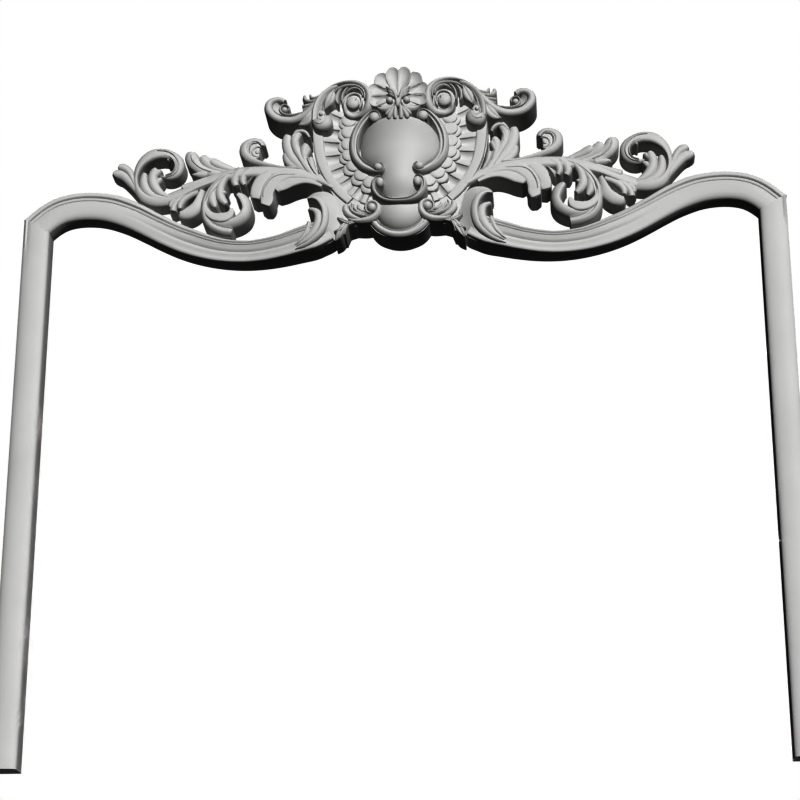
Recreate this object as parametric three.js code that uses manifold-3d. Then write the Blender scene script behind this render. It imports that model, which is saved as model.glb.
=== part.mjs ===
// A carved surround in wood: two plain stiles and a serpentine head rail with a carved crest.
// Millimetres, +Z up. The flat back lies on y = 0, the carving faces -Y, x = 0 is the middle.
import * as THREE from "three";
import Module from "manifold-3d";
import { mergeVertices } from "three/addons/utils/BufferGeometryUtils.js";

const openingWidth = 1200; // clear width between the stiles
const stileWidth = 45; // across the face of a stile
const stileLength = 922; // inner edge, from the mitre to the square foot
const mitreRise = 27; // how far the mitre climbs from the inner to the outer corner
const jointGap = 0.3; // open joint between rail and stile
const wallHeight = 30; // straight inner wall of the moulding, off the back
const mouldingDepth = 37; // crown of the moulding, off the back
const railWidth = 50; // across the face of the rail
const railWallGain = 18; // how much the rail's wall rises towards the crest
const crestHalfSpan = 500; // middle to the tip of the side scrolls
const crestRelief = 100; // the deepest carving, off the back
const grooveDepth = 4; // the cut beside the outer bead of the rail
const beadHeight = 27; // outer bead of the rail, off the back
const stepTurn = 0.95; // radians of bend in a carved line for each facet
const paintGrey = 0xb4b4b2;

// The carving is drawn on squared paper: 500 squares to the half span, 100 levels to the relief.
const square = crestHalfSpan / 500;
const level = crestRelief / 100;
const openingHalf = openingWidth / 2;
const railFixedTo = 300; // squares from the middle within which the rail belongs to the carving
const cornerDrop = 11.5; // squares from the level of the origin down to the opening's corner
const mitreFrom = 0.8; // share of the free rail after which it takes the width of the mitre
const wallRiseFrom = 300; // squares from the middle where the rail's wall starts to rise
const wallRiseTo = 140; // squares from the middle where it has risen in full

const wasm = await Module();
wasm.setup();

// A point at x, z on the drawing and a height off the back.
function at(x, z, height) {
  return new THREE.Vector3(x, -height, z);
}

function signedVolume(positions, faces) {
  let sum = 0;
  const corner = [0, 1, 2].map(() => new THREE.Vector3());
  for (let i = 0; i < faces.length; i += 3) {
    corner.forEach((p, k) => p.fromArray(positions, faces[i + k] * 3));
    sum += corner[0].dot(corner[1].clone().cross(corner[2]));
  }
  return sum / 6;
}

// A closed body as a solid, turned face out where its drawing ran the other way round.
function solidFrom(positions, faces) {
  const triVerts = Uint32Array.from(faces);
  if (signedVolume(positions, faces) < 0) triVerts.reverse();
  const vertProperties = Float32Array.from(positions);
  return new wasm.Manifold(new wasm.Mesh({ numProp: 3, vertProperties, triVerts }));
}

function solidOf(geometry) {
  geometry.deleteAttribute("normal");
  geometry.deleteAttribute("uv");
  const merged = mergeVertices(geometry, 1e-4);
  return solidFrom(merged.attributes.position.array, merged.index.array);
}

// Skins a row of rings with equal numbers of points and closes both ends.
function loft(rings, endOutline) {
  const count = rings[0].length;
  const positions = rings.flat().flatMap((p) => [p.x, p.y, p.z]);
  const faces = [];
  for (let r = 0; r + 1 < rings.length; r++) {
    for (let k = 0; k < count; k++) {
      const a = r * count + k;
      const b = r * count + ((k + 1) % count);
      faces.push(a, b, b + count, a, b + count, a + count);
    }
  }
  const last = (rings.length - 1) * count;
  const ends = THREE.ShapeUtils.triangulateShape(endOutline, []);
  if (THREE.ShapeUtils.isClockWise(endOutline)) ends.forEach((face) => face.reverse());
  for (const [a, b, c] of ends) faces.push(a, c, b, last + a, last + b, last + c);
  return solidFrom(positions, faces);
}

// Reads a short list of values at a share t of its length.
function along(values, t) {
  const place = t * (values.length - 1);
  const before = Math.min(Math.floor(place), values.length - 2);
  return THREE.MathUtils.lerp(values[before], values[before + 1], place - before);
}

// Cross sections as [share of the half width, share of the height between edge and crown].
const ridged = [[-1, 0], [-0.1, 1], [1, 0]];
const rounded = [[-1, 0], [-0.4, 1], [0.4, 1], [1, 0]];
const fluted = [[-1, 0], [-0.66, 1], [0, 0.1], [0.66, 1], [1, 0]];

// Enough steps for a line that bends: one for each stepTurn of its turning, and the least it needs.
function stepsFor(curve, least) {
  const looks = 32;
  let turning = 0;
  for (let i = 0; i < looks; i++) {
    turning += curve.getTangentAt(i / looks).angleTo(curve.getTangentAt((i + 1) / looks));
  }
  return Math.max(least, Math.round(turning / stepTurn));
}

// A carved member: a band along a drawn line, with widths and heights along its way.
function member({ line, half, crown, edge, foot = 0, section = ridged, side = 1 }) {
  const points = line.map(([x, z]) => new THREE.Vector3(x * square * side, 0, z * square));
  const curve = new THREE.CatmullRomCurve3(points, false, "centripetal");
  const steps = stepsFor(curve, Math.min(half.length - 1, 2));
  const rings = [];
  for (let i = 0; i <= steps; i++) {
    const t = i / steps;
    const middle = curve.getPointAt(t);
    const tangent = curve.getTangentAt(t);
    const across = new THREE.Vector3(-tangent.z, 0, tangent.x).multiplyScalar(side);
    const width = along(half, t) * square;
    const top = along(crown, t) * level;
    const shoulder = along(edge, t) * level;
    const profile = section.map(([u, v]) => [u, shoulder + v * (top - shoulder)]);
    const outline = [[-1, foot * level], ...profile, [1, foot * level]];
    rings.push(
      outline.map(([u, h]) => {
        const p = middle.clone().addScaledVector(across, u * width);
        return at(p.x, p.z, h);
      }),
    );
  }
  const flat = [[-1, -2], ...section, [1, -2]].map(([u, v]) => new THREE.Vector2(u, v));
  return loft(rings, flat);
}

// A round swelling: an ellipsoid whose middle sits at a height off the back.
function swelling({ x, z, across, up, from, to, sides = 7, rows = 3, side = 1 }) {
  const geometry = new THREE.SphereGeometry(1, sides, rows);
  geometry.scale(across * square, (to - from) * level, up * square);
  geometry.translate(x * square * side, -from * level, z * square);
  return solidOf(geometry);
}

// A flat-faced plate with a drawn outline.
function plate(outline, from, to) {
  const shape = new THREE.Shape(outline.map(([x, z]) => new THREE.Vector2(x * square, z * square)));
  const geometry = new THREE.ExtrudeGeometry(shape, { depth: (to - from) * level, bevelEnabled: false });
  geometry.rotateX(Math.PI / 2);
  geometry.translate(0, -from * level, 0);
  return solidOf(geometry);
}

function mirrored(outline) {
  return [...outline, ...outline.filter(([x]) => x > 0).reverse().map(([x, z]) => [-x, z])];
}

// A box big enough to cut with, lying along the mitre line: above it or below it.
function beyondMitre({ side, above, shift = 0 }) {
  const angle = Math.atan2(mitreRise, stileWidth);
  const size = 6 * stileWidth;
  const geometry = new THREE.BoxGeometry(2 * size, 4 * crestRelief, size);
  geometry.translate(0, 0, (above ? size : -size) / 2 + shift);
  geometry.rotateY(-angle * side);
  geometry.translate(side * openingHalf, 0, cornerHeight);
  return solidOf(geometry);
}

const cornerHeight = -cornerDrop * square;

// The lower edge of the rail. Its free stretch runs from the carving out past the corner of the
// opening: [share of the way to the corner, squares up, share of the rail width].
const railFree = [
  [1.167, -62, 1.06], [1.073, -32, 1.06], [1, -cornerDrop, 1.06], [0.917, 6.6, 1.06], [0.803, 12.1, 1.06],
  [0.667, 6.1, 1.07], [0.467, -21.3, 1.02], [0.217, -59, 1], [0.033, -74.3, 0.89],
];
// The stretch that the carving holds: [squares from the middle, squares up, share of the rail width].
const railHeld = [
  [260, -79, 0.85], [200, -74.1, 0.88], [165, -67, 0.95], [135, -58, 1], [108, -44, 0.8],
];
// Across the rail: [share of the width, height off the back at the shoulder].
const railSection = [
  [0, wallHeight - 1], [0.12, mouldingDepth - 1], [0.62, mouldingDepth - 2],
  [0.72, beadHeight + 3], [0.84, beadHeight - grooveDepth], [0.92, beadHeight], [1, beadHeight - 2],
];

// A place on the free stretch of the rail, in millimetres from the middle.
function freeX(share) {
  return THREE.MathUtils.lerp(railFixedTo * square, openingHalf, share);
}

function railStations() {
  const free = railFree.map(([share, z, width]) => [freeX(share), z * square, width]);
  const held = railHeld.map(([x, z, width]) => [x * square, z * square, width]);
  return [...free, ...held];
}

function rail(side) {
  const steps = 17;
  const mitreLength = Math.hypot(stileWidth, mitreRise);
  const stations = railStations();
  const lower = new THREE.CatmullRomCurve3(stations.map(([x, z]) => new THREE.Vector3(x, 0, z)));
  const rings = [];
  for (let i = 0; i <= steps; i++) {
    const t = i / steps;
    const inner = lower.getPoint(t);
    const tangent = lower.getTangent(t);
    const outward = new THREE.Vector3(tangent.z, 0, -tangent.x);
    const ownWidth = along(stations.map(([, , share]) => share), t) * railWidth;
    const toMitre = THREE.MathUtils.smoothstep(inner.x, freeX(mitreFrom), openingHalf);
    const width = THREE.MathUtils.lerp(ownWidth, mitreLength, toMitre);
    const rise = railWallGain *
      THREE.MathUtils.smoothstep(-inner.x, -wallRiseFrom * square, -wallRiseTo * square);
    const outline = [[0, 0], ...railSection.map(([u, h]) => [u, h + rise * (1 - 0.4 * u)]), [1, 0]];
    rings.push(
      outline.map(([u, h]) => {
        const p = inner.clone().addScaledVector(outward, u * width);
        return at(p.x * side, p.z, h);
      }),
    );
  }
  const flat = [[0, 0], ...railSection, [1, 0]].map(([u, h]) => new THREE.Vector2(u * railWidth, h));
  return loft(rings, flat).subtract(beyondMitre({ side, above: false }));
}

// Across the stile from the opening outwards: [share of the width, height off the back].
const stileSection = [
  [0, wallHeight], [0.05, wallHeight + 3], [0.16, mouldingDepth - 1.5], [0.36, mouldingDepth],
  [0.58, mouldingDepth], [0.8, mouldingDepth - 1.5], [0.94, wallHeight + 3], [1, wallHeight],
];

function stile(side) {
  const foot = cornerHeight - stileLength;
  const top = cornerHeight + 2 * mitreRise;
  const outline = [[0, 0], ...stileSection, [1, 0]];
  const rings = [foot, top].map((z) =>
    outline.map(([u, h]) => at(side * (openingHalf + u * stileWidth), z, h)),
  );
  const flat = outline.map(([u, h]) => new THREE.Vector2(u * stileWidth, h));
  return loft(rings, flat).subtract(beyondMitre({ side, above: true, shift: -jointGap }));
}

// The plate behind the cartouche, up to the bed of the flutes.
function ground() {
  const outline = [
    [0, -24], [60, -24], [84, -22], [98, -8], [108, 25], [122, 48], [137, 78], [147, 112],
    [149, 150], [147, 185], [133, 206], [108, 226], [80, 226], [56, 214], [40, 205], [0, 205],
  ];
  return plate(mirrored(outline), 0, 50);
}

const ringInner = [[128, 172], [131, 140], [129, 110], [121, 80], [108, 55], [92, 36], [76, 20]];
const scaleEdge = [[86, 163], [101, 143], [103, 120], [101, 99], [92, 77], [78, 57], [62, 40]];

function curveOf(points) {
  return new THREE.CatmullRomCurve3(points.map(([x, z]) => new THREE.Vector3(x, 0, z)));
}

// The flutes: a fan of ribs from the ring to the scales.
function fluteRibs(side) {
  const outer = curveOf(ringInner);
  const inner = curveOf(scaleEdge);
  const ribs = 7;
  return Array.from({ length: ribs }, (_, i) => {
    const t = (i + 0.35) / ribs;
    const from = outer.getPointAt(t).lerp(inner.getPointAt(t), 0.04);
    const to = inner.getPointAt(t).lerp(outer.getPointAt(t), 0.1);
    const line = [[from.x, from.z], [to.x, to.z]];
    return member({ line, half: [3.4, 2.6], crown: [57, 60], edge: [51, 53], foot: 44, side });
  });
}

// Two rows of scales round the boss: a plain band with the round scales over it.
function scales(side) {
  const row = curveOf([[91, 148], [92, 122], [88, 100], [80, 81], [67, 63], [50, 48]]);
  const perRow = 6;
  const under = member({
    line: scaleEdge, half: [7, 7], crown: [66, 66], edge: [60, 60], foot: 44, side,
  });
  const over = Array.from({ length: perRow }, (_, i) => {
    const { x, z } = row.getPointAt(i / (perRow - 1));
    return swelling({ x, z, across: 12, up: 12, from: 56, to: 74, sides: 6, side });
  });
  return [under, ...over];
}

// The bulb-shaped boss in the middle, built up in courses from its outline.
function boss() {
  const outline = mirrored([
    [0, 12], [14, 16], [23, 27], [26, 45], [30, 62], [46, 76], [60, 90], [68, 108], [68, 126],
    [60, 143], [46, 155], [25, 163], [0, 166],
  ]);
  const courses = [[1, 48], [1, 62], [0.86, 77], [0.48, 88]];
  const middle = [0, 98];
  const rings = courses.map(([share, height]) =>
    outline.map(([x, z]) =>
      at(x * share * square, (middle[1] + (z - middle[1]) * share) * square, height * level),
    ),
  );
  return loft(rings, outline.map(([x, z]) => new THREE.Vector2(x, z)));
}

// The ring, the C frame, the U frame and their curled ends.
function frames(side) {
  return [
    member({
      line: [[140, 192], [141, 160], [139, 128], [134, 95], [121, 64], [104, 40], [86, 22]],
      half: [8, 9, 8.5, 7.5, 7], crown: [62, 60, 60, 58], edge: [57, 56, 55, 54],
      section: rounded, side,
    }),
    member({
      line: [[36, 172], [50, 170], [62, 155], [71, 136], [74, 114], [71, 95], [62, 79], [50, 69], [36, 64]],
      half: [4, 6, 7, 7, 7, 6], crown: [76, 79, 79, 78, 78], edge: [70, 72, 72, 71, 70],
      foot: 40, section: fluted, side,
    }),
    swelling({ x: 41, z: 166, across: 10, up: 10, from: 66, to: 85, side }),
    swelling({ x: 34, z: 70, across: 9, up: 8.5, from: 66, to: 84, side }),
    member({
      line: [[35, 54], [42, 44], [41, 30], [33, 17], [18, 9], [-1, 7]],
      half: [4, 5, 5, 5, 5], crown: [78, 80, 80, 80], edge: [70, 72, 72, 72],
      side,
    }),
    swelling({ x: 32, z: 43, across: 7.5, up: 8, from: 68, to: 84, side }),
  ];
}

// The pendant under the cartouche: its plate, its rim and its dome.
function pendant() {
  const bowl = mirrored([[0, -50.4], [20, -47], [35, -39.8], [46, -27], [48, -12], [44, 4], [0, 6]]);
  const rim = [1, -1].map((side) =>
    member({
      line: [[44, -17], [37, -29], [22, -40], [-1, -45]],
      half: [5, 5, 5], crown: [58, 58, 58], edge: [53, 53, 53], section: ridged, side,
    }),
  );
  return [
    plate(bowl, 0, 46),
    ...rim,
    swelling({ x: 0, z: -2, across: 37, up: 34, from: 44, to: 68, sides: 12, rows: 4 }),
  ];
}

// The small volutes beside the pendant, with the leaf sprays under them.
function lowerVolutes(side) {
  return [
    member({
      line: [[80, 13], [92, 10], [94, -4], [82, -17], [62, -21], [44, -16], [34, -3], [38, 10], [50, 12]],
      half: [4, 6, 7, 7, 6, 6, 5, 4, 3], crown: [56, 58, 60, 60, 62, 62], edge: [50, 52, 53, 54, 54, 54],
      section: ridged, side,
    }),
    swelling({ x: 47, z: 3, across: 8, up: 8, from: 50, to: 65, side }),
    member({
      line: [[76, -17], [94, -22], [105, -36], [110, -53]],
      half: [4, 6, 6.5, 1], crown: [56, 56, 54, 50], edge: [48, 48, 46, 45], side,
    }),
    member({
      line: [[86, -20], [94, -28], [93, -38]],
      half: [3, 5, 2], crown: [54, 53, 50], edge: [46, 46, 44], side,
    }),
  ];
}

// The big volutes at the top, with the arms that run out to the upper scrolls.
function upperArms(side) {
  return [
    member({
      line: [
        [193, 209], [199, 219], [213, 221], [225, 211], [226, 197], [215, 185], [195, 180],
        [172, 183], [152, 196], [134, 213], [112, 226],
      ],
      half: [3, 6, 8, 9, 9, 10, 10, 9, 9, 8], crown: [54, 56, 58, 60, 61, 64, 68, 74, 80],
      edge: [46, 48, 50, 52, 54, 56, 60, 66, 72], section: rounded, side,
    }),
    swelling({ x: 200, z: 203, across: 9, up: 9, from: 46, to: 60, side }),
    member({
      line: [
        [118, 222], [98, 230], [76, 230], [57, 220], [48, 200], [53, 181], [70, 170], [86, 176],
        [92, 190], [86, 204], [74, 208],
      ],
      half: [8, 8, 8, 8, 7.5, 7.5, 7, 6, 5, 4, 2], crown: [82, 88, 90, 91, 91, 90, 88, 86, 84, 80, 76],
      edge: [72, 76, 78, 79, 79, 78, 76, 74, 72, 70, 70], foot: 30, section: rounded, side,
    }),
    swelling({ x: 75, z: 191, across: 13, up: 13, from: 62, to: 84, side }),
    member({
      line: [[108, 226], [130, 212], [143, 192], [142, 170]],
      half: [4, 7, 8, 7], crown: [84, 82, 80, 80], edge: [70, 68, 66, 66], foot: 30, side,
    }),
    swelling({ x: 128, z: 160, across: 16, up: 17, from: 56, to: 82, side }),
    member({
      line: [[112, 222], [120, 208], [124, 192]],
      half: [2, 7, 1], crown: [76, 74, 68], edge: [64, 62, 60], foot: 30, side,
    }),
    member({
      line: [[98, 218], [101, 203], [98, 188]],
      half: [3, 7, 1], crown: [76, 72, 66], edge: [64, 60, 58], foot: 30, side,
    }),
    member({
      line: [[148, 192], [158, 178], [172, 168]],
      half: [4, 7, 1], crown: [70, 66, 60], edge: [58, 56, 54], side,
    }),
    member({
      line: [[145, 200], [158, 205], [162, 219]],
      half: [4, 6, 2], crown: [72, 68, 60], edge: [60, 58, 54], side,
    }),
  ];
}

// The scallop shell at the top: a fan of lobes from one hinge.
function shell(side) {
  const hinge = [3, 190];
  const lobes = [
    { tip: [10, 244], half: 10 }, { tip: [29, 234], half: 10 },
    { tip: [42, 214], half: 9 }, { tip: [41, 194], half: 9 },
  ];
  return lobes.map(({ tip, half }) =>
    member({
      line: [hinge, [(hinge[0] + tip[0]) / 2, (hinge[1] + tip[1]) / 2], tip],
      half: [2, half * 0.75, half, half * 0.55], crown: [88, 91, 93, 92], edge: [84, 84, 84, 84],
      foot: 0, section: fluted, side,
    }),
  );
}

// The sprig that hangs from the shell.
function sprig(side) {
  return [
    swelling({ x: 14, z: 192, across: 6, up: 6, from: 84, to: 96, sides: 6, rows: 3, side }),
    member({
      line: [[3, 186], [8, 202], [18, 210]],
      half: [2, 4, 1], crown: [96, 97, 94], edge: [88, 88, 88], foot: 60, side,
    }),
    member({
      line: [[40, 180], [22, 177], [8, 186]],
      half: [1.5, 5, 2], crown: [86, 90, 90], edge: [78, 80, 80], foot: 40, side,
    }),
    member({
      line: [[4, 184], [8, 174], [16, 163]],
      half: [3, 6, 2], crown: [92, 92, 88], edge: [80, 82, 82], foot: 40, side,
    }),
  ];
}

// The leaf that stands between the cartouche and the side scroll.
function standingLeaf(side) {
  return [
    member({
      line: [[122, 52], [148, 80], [168, 110], [177, 138], [173, 158]],
      half: [7, 14, 18, 15, 6], crown: [52, 52, 51, 49, 46], edge: [44, 43, 42, 42, 42],
      section: fluted, side,
    }),
    member({
      line: [[165, 90], [183, 110], [193, 132], [194, 154]],
      half: [6, 10, 9, 5], crown: [47, 47, 46, 44], edge: [40, 40, 40, 40], side,
    }),
    member({
      line: [[130, 62], [145, 88], [156, 112], [157, 132]],
      half: [5, 8, 8, 4], crown: [55, 54, 53, 50], edge: [46, 46, 46, 45], side,
    }),
  ];
}

// The side scroll: its stem, the loop at its end and the leaves round it.
function sideScroll(side) {
  return [
    member({
      line: [[118, 44], [150, 68], [190, 84], [235, 94], [285, 96], [330, 84], [368, 66], [402, 52]],
      half: [9, 13, 14, 14, 14, 13, 11, 10], crown: [56, 53, 49, 46, 44, 42, 38, 35],
      edge: [46, 43, 40, 37, 35, 33, 31, 28], section: rounded, side,
    }),
    member({
      line: [
        [395, 54], [424, 52], [446, 68], [455, 92], [450, 116], [434, 133], [412, 138],
        [392, 130], [381, 114], [385, 99], [400, 91],
      ],
      half: [9, 9, 7, 6, 7, 9, 10, 10, 8, 7, 3], crown: [36, 36, 36, 36, 37, 38, 38, 38, 38, 37, 34],
      edge: [28, 28, 28, 28, 29, 29, 29, 30, 30, 29, 28], section: ridged, side,
    }),
    member({
      line: [[404, 50], [426, 62], [437, 82], [430, 99], [418, 104]],
      half: [6, 11, 12, 10, 5], crown: [34, 34, 33, 33, 31], edge: [24, 24, 24, 24, 25],
      section: fluted, side,
    }),
    member({
      line: [[412, 48], [446, 58], [468, 82], [481, 104], [484, 116]],
      half: [5, 8, 8, 8, 3], crown: [33, 33, 32, 31, 29], edge: [26, 26, 26, 26, 26],
      section: ridged, side,
    }),
    member({
      line: [[466, 84], [480, 94], [495, 103]],
      half: [5, 8, 4], crown: [30, 30, 28], edge: [25, 25, 25], side,
    }),
    member({
      line: [[318, 92], [345, 106], [358, 122], [356, 137]],
      half: [6, 12, 12, 5], crown: [43, 42, 41, 38], edge: [34, 34, 34, 34], side,
    }),
    member({
      line: [[300, 102], [322, 112], [336, 122]],
      half: [5, 9, 4], crown: [43, 42, 39], edge: [35, 35, 34], side,
    }),
    member({
      line: [[330, 92], [350, 92], [364, 98]],
      half: [6, 8, 4], crown: [42, 41, 38], edge: [34, 34, 33], side,
    }),
  ];
}

// The curl that rises from the stem.
function topCurl(side) {
  return [
    member({
      line: [
        [176, 86], [205, 99], [235, 107], [258, 116], [268, 132], [262, 147], [248, 152],
        [237, 145], [234, 135],
      ],
      half: [5, 5, 5.5, 6.5, 7, 6.5, 5.5, 5, 3], crown: [46, 45, 44, 44, 45, 45, 44, 43, 42],
      edge: [38, 36, 36, 36, 36, 36, 36, 36, 36], section: ridged, side,
    }),
    swelling({ x: 249, z: 131, across: 12, up: 12, from: 34, to: 44, side }),
  ];
}

// The leaves and the hook that hang from the stem.
function hangingLeaves(side) {
  return [
    member({
      line: [[170, 72], [200, 78], [224, 74], [236, 56], [230, 34]],
      half: [10, 10, 11, 11, 6], crown: [52, 52, 51, 49, 46], edge: [43, 42, 42, 41, 40],
      section: fluted, side,
    }),
    member({
      line: [[240, 70], [250, 54], [248, 38]],
      half: [6, 9, 5], crown: [48, 46, 43], edge: [38, 38, 37], side,
    }),
    member({
      line: [[180, 74], [202, 66], [208, 54]],
      half: [8, 10, 8], crown: [50, 50, 48], edge: [42, 42, 40], side,
    }),
    member({
      line: [[262, 92], [262, 78], [272, 68]],
      half: [8, 8, 4], crown: [46, 44, 41], edge: [36, 36, 35], side,
    }),
    member({
      line: [[290, 92], [284, 78], [282, 66]],
      half: [8, 9, 4], crown: [46, 44, 41], edge: [36, 36, 35], side,
    }),
    member({
      line: [[306, 88], [328, 64], [338, 34], [330, 6], [310, -14], [288, -21]],
      half: [5, 6, 7, 8, 8, 5], crown: [45, 44, 43, 43, 43, 42], edge: [36, 35, 34, 34, 34, 34],
      section: ridged, side,
    }),
    member({
      line: [[310, 2], [288, -6], [266, 0], [254, 18], [256, 38], [268, 52], [279, 50]],
      half: [8, 9, 9, 9, 8, 7, 4], crown: [40, 42, 45, 46, 45, 43, 40], edge: [30, 32, 35, 36, 36, 35, 34],
      section: ridged, side,
    }),
    member({
      line: [[314, 78], [326, 56], [322, 38], [313, 26]],
      half: [6, 9, 8, 2], crown: [43, 42, 40, 36], edge: [34, 33, 32, 31], side,
    }),
    member({
      line: [[300, 84], [310, 62], [305, 44], [290, 34]],
      half: [5, 8, 8, 3], crown: [44, 43, 41, 37], edge: [35, 34, 33, 32], side,
    }),
    member({
      line: [[340, 74], [343, 46], [348, 24], [364, 14], [380, 20]],
      half: [7, 7, 10, 10, 4], crown: [42, 40, 38, 36, 34], edge: [32, 31, 30, 29, 28], side,
    }),
    member({
      line: [[370, 60], [380, 44], [388, 24]],
      half: [7, 9, 4], crown: [38, 36, 33], edge: [30, 28, 27], side,
    }),
  ];
}

// The leaf on the end of the rail, where the rail turns up to the cartouche.
function railLeaf(side) {
  return [
    member({
      line: [[182, -57], [148, -47], [122, -26], [111, 0], [118, 22], [134, 31], [147, 28]],
      half: [4, 11, 15, 14, 11, 8, 4], crown: [48, 51, 54, 55, 55, 54, 50],
      edge: [44, 46, 47, 48, 48, 47, 45], section: fluted, side,
    }),
    member({
      line: [[176, -52], [154, -36], [140, -16], [142, 6]],
      half: [3, 8, 9, 5], crown: [47, 50, 51, 49], edge: [40, 42, 43, 42], side,
    }),
  ];
}

function join(solids) {
  return wasm.Manifold.union(solids);
}

function crest() {
  const bySide = [
    rail, fluteRibs, scales, frames, lowerVolutes, upperArms, shell, sprig, standingLeaf, sideScroll,
    topCurl, hangingLeaves, railLeaf,
  ];
  const pieces = [1, -1].flatMap((side) => bySide.flatMap((carve) => carve(side)));
  const bud = swelling({ x: 0, z: 188, across: 4, up: 9, from: 84, to: 98, sides: 6, rows: 3 });
  return join([ground(), boss(), bud, ...pendant(), ...pieces]);
}

function meshOf(name, solid) {
  const { vertProperties, triVerts } = solid.getMesh();
  const geometry = new THREE.BufferGeometry();
  geometry.setAttribute("position", new THREE.BufferAttribute(vertProperties, 3));
  geometry.setIndex(new THREE.BufferAttribute(triVerts, 1));
  geometry.computeVertexNormals();
  const paint = new THREE.MeshStandardMaterial({ color: paintGrey, roughness: 0.6, metalness: 0 });
  const mesh = new THREE.Mesh(geometry, paint);
  mesh.name = name;
  return mesh;
}

const surround = new THREE.Group();
surround.add(meshOf("crest_rail", crest()));
surround.add(meshOf("left_stile", stile(-1)));
surround.add(meshOf("right_stile", stile(1)));

export default surround;
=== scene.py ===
# Carved wooden surround: two plain stiles and a serpentine head rail with a carved crest.
# Drawing units are millimetres: x to the right, z up, and heights measured off the flat back.
import math
import bpy
import bmesh
import numpy as np
from mathutils import Matrix, Vector


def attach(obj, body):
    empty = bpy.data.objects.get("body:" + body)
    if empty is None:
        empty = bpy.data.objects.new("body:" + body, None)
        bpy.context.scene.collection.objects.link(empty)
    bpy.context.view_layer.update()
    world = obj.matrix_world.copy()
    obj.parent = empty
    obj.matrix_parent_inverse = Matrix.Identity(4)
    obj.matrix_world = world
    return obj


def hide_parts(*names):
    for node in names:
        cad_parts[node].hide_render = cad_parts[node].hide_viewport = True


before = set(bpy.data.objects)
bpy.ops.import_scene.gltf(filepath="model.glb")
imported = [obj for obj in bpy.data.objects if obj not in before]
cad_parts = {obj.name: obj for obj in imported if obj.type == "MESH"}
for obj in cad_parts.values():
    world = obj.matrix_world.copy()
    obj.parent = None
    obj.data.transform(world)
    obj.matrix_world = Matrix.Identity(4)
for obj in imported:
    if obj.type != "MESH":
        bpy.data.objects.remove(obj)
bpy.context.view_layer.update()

mm = 0.001


# Camera and light

viewValues = {
    "place": (0.25501, -3.47546, -1.680),  # below the crest, a little to its right
    "turn": -4.2575, "tilt": 21.2958, "field": 20.0,  # degrees
    "sensor": 36.0, "farthest": 60.0,
    "keyFrom": (0.30, -0.92, 0.25),  # towards the key light
    "backFrom": (0.0, 0.96, 0.28),  # towards the weaker light behind
    "keyPower": 5.6, "backPower": 3.6, "sunSize": 8, "ambient": 0.004,
    "floorDrop": 1.75, "floorHalf": 9.0, "floorGrey": 0.86, "floorRough": 0.9, "floorGlow": 0.55,
}


def aim(thing, direction):
    thing.rotation_euler = Vector(direction).to_track_quat("-Z", "Y").to_euler()


def makeCamera(v):
    turn, tilt = math.radians(v["turn"]), math.radians(v["tilt"])
    data = bpy.data.cameras.new("view")
    data.sensor_width = v["sensor"]
    data.lens = v["sensor"] / 2 / math.tan(math.radians(v["field"] / 2))
    data.clip_end = v["farthest"]
    camera = bpy.data.objects.new("view", data)
    bpy.context.scene.collection.objects.link(camera)
    camera.location = v["place"]
    aim(camera, (math.sin(turn) * math.cos(tilt), math.cos(turn) * math.cos(tilt), math.sin(tilt)))
    bpy.context.scene.camera = camera


def makeSun(name, direction, power, soft):
    data = bpy.data.lights.new(name, "SUN")
    data.energy = power
    data.angle = math.radians(soft)
    data.use_shadow = False  # an even studio wash, without cast shadows
    sun = bpy.data.objects.new(name, data)
    bpy.context.scene.collection.objects.link(sun)
    aim(sun, [-c for c in direction])


def makeRoom(v):
    makeSun("key", v["keyFrom"], v["keyPower"], v["sunSize"])
    makeSun("behind", v["backFrom"], v["backPower"], v["sunSize"])
    world = bpy.data.worlds.new("studio")
    world.use_nodes = True
    nodes, links = world.node_tree.nodes, world.node_tree.links
    nodes.clear()
    backdrop = nodes.new("ShaderNodeBackground")
    backdrop.inputs["Color"].default_value = (1, 1, 1, 1)
    fill = nodes.new("ShaderNodeBackground")
    fill.inputs["Color"].default_value = (1, 1, 1, 1)
    fill.inputs["Strength"].default_value = v["ambient"]
    rays = nodes.new("ShaderNodeLightPath")
    mix = nodes.new("ShaderNodeMixShader")
    out = nodes.new("ShaderNodeOutputWorld")
    links.new(rays.outputs["Is Camera Ray"], mix.inputs["Fac"])
    links.new(fill.outputs[0], mix.inputs[1])
    links.new(backdrop.outputs[0], mix.inputs[2])
    links.new(mix.outputs[0], out.inputs["Surface"])
    bpy.context.scene.world = world
    half = v["floorHalf"]
    mesh = bpy.data.meshes.new("floor")
    corners = [(-half, -half, 0), (half, -half, 0), (half, half, 0), (-half, half, 0)]
    mesh.from_pydata(corners, [], [(0, 1, 2, 3)])
    floor = bpy.data.objects.new("floor", mesh)
    bpy.context.scene.collection.objects.link(floor)
    floor.location.z = -v["floorDrop"]
    floor.visible_diffuse = False
    pale = bpy.data.materials.new("paleFloor")
    pale.use_nodes = True
    shader = pale.node_tree.nodes["Principled BSDF"]
    shader.inputs["Base Color"].default_value = (v["floorGrey"], v["floorGrey"], v["floorGrey"], 1)
    shader.inputs["Roughness"].default_value = v["floorRough"]
    shader.inputs["Emission Color"].default_value = (1, 1, 1, 1)
    shader.inputs["Emission Strength"].default_value = v["floorGlow"]
    mesh.materials.append(pale)
    settings = bpy.context.scene.view_settings
    settings.view_transform = "Raw"
    settings.look = "None"


makeCamera(viewValues)
makeRoom(viewValues)
print("camera, light and floor are in place")


# Primer on carved wood

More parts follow.
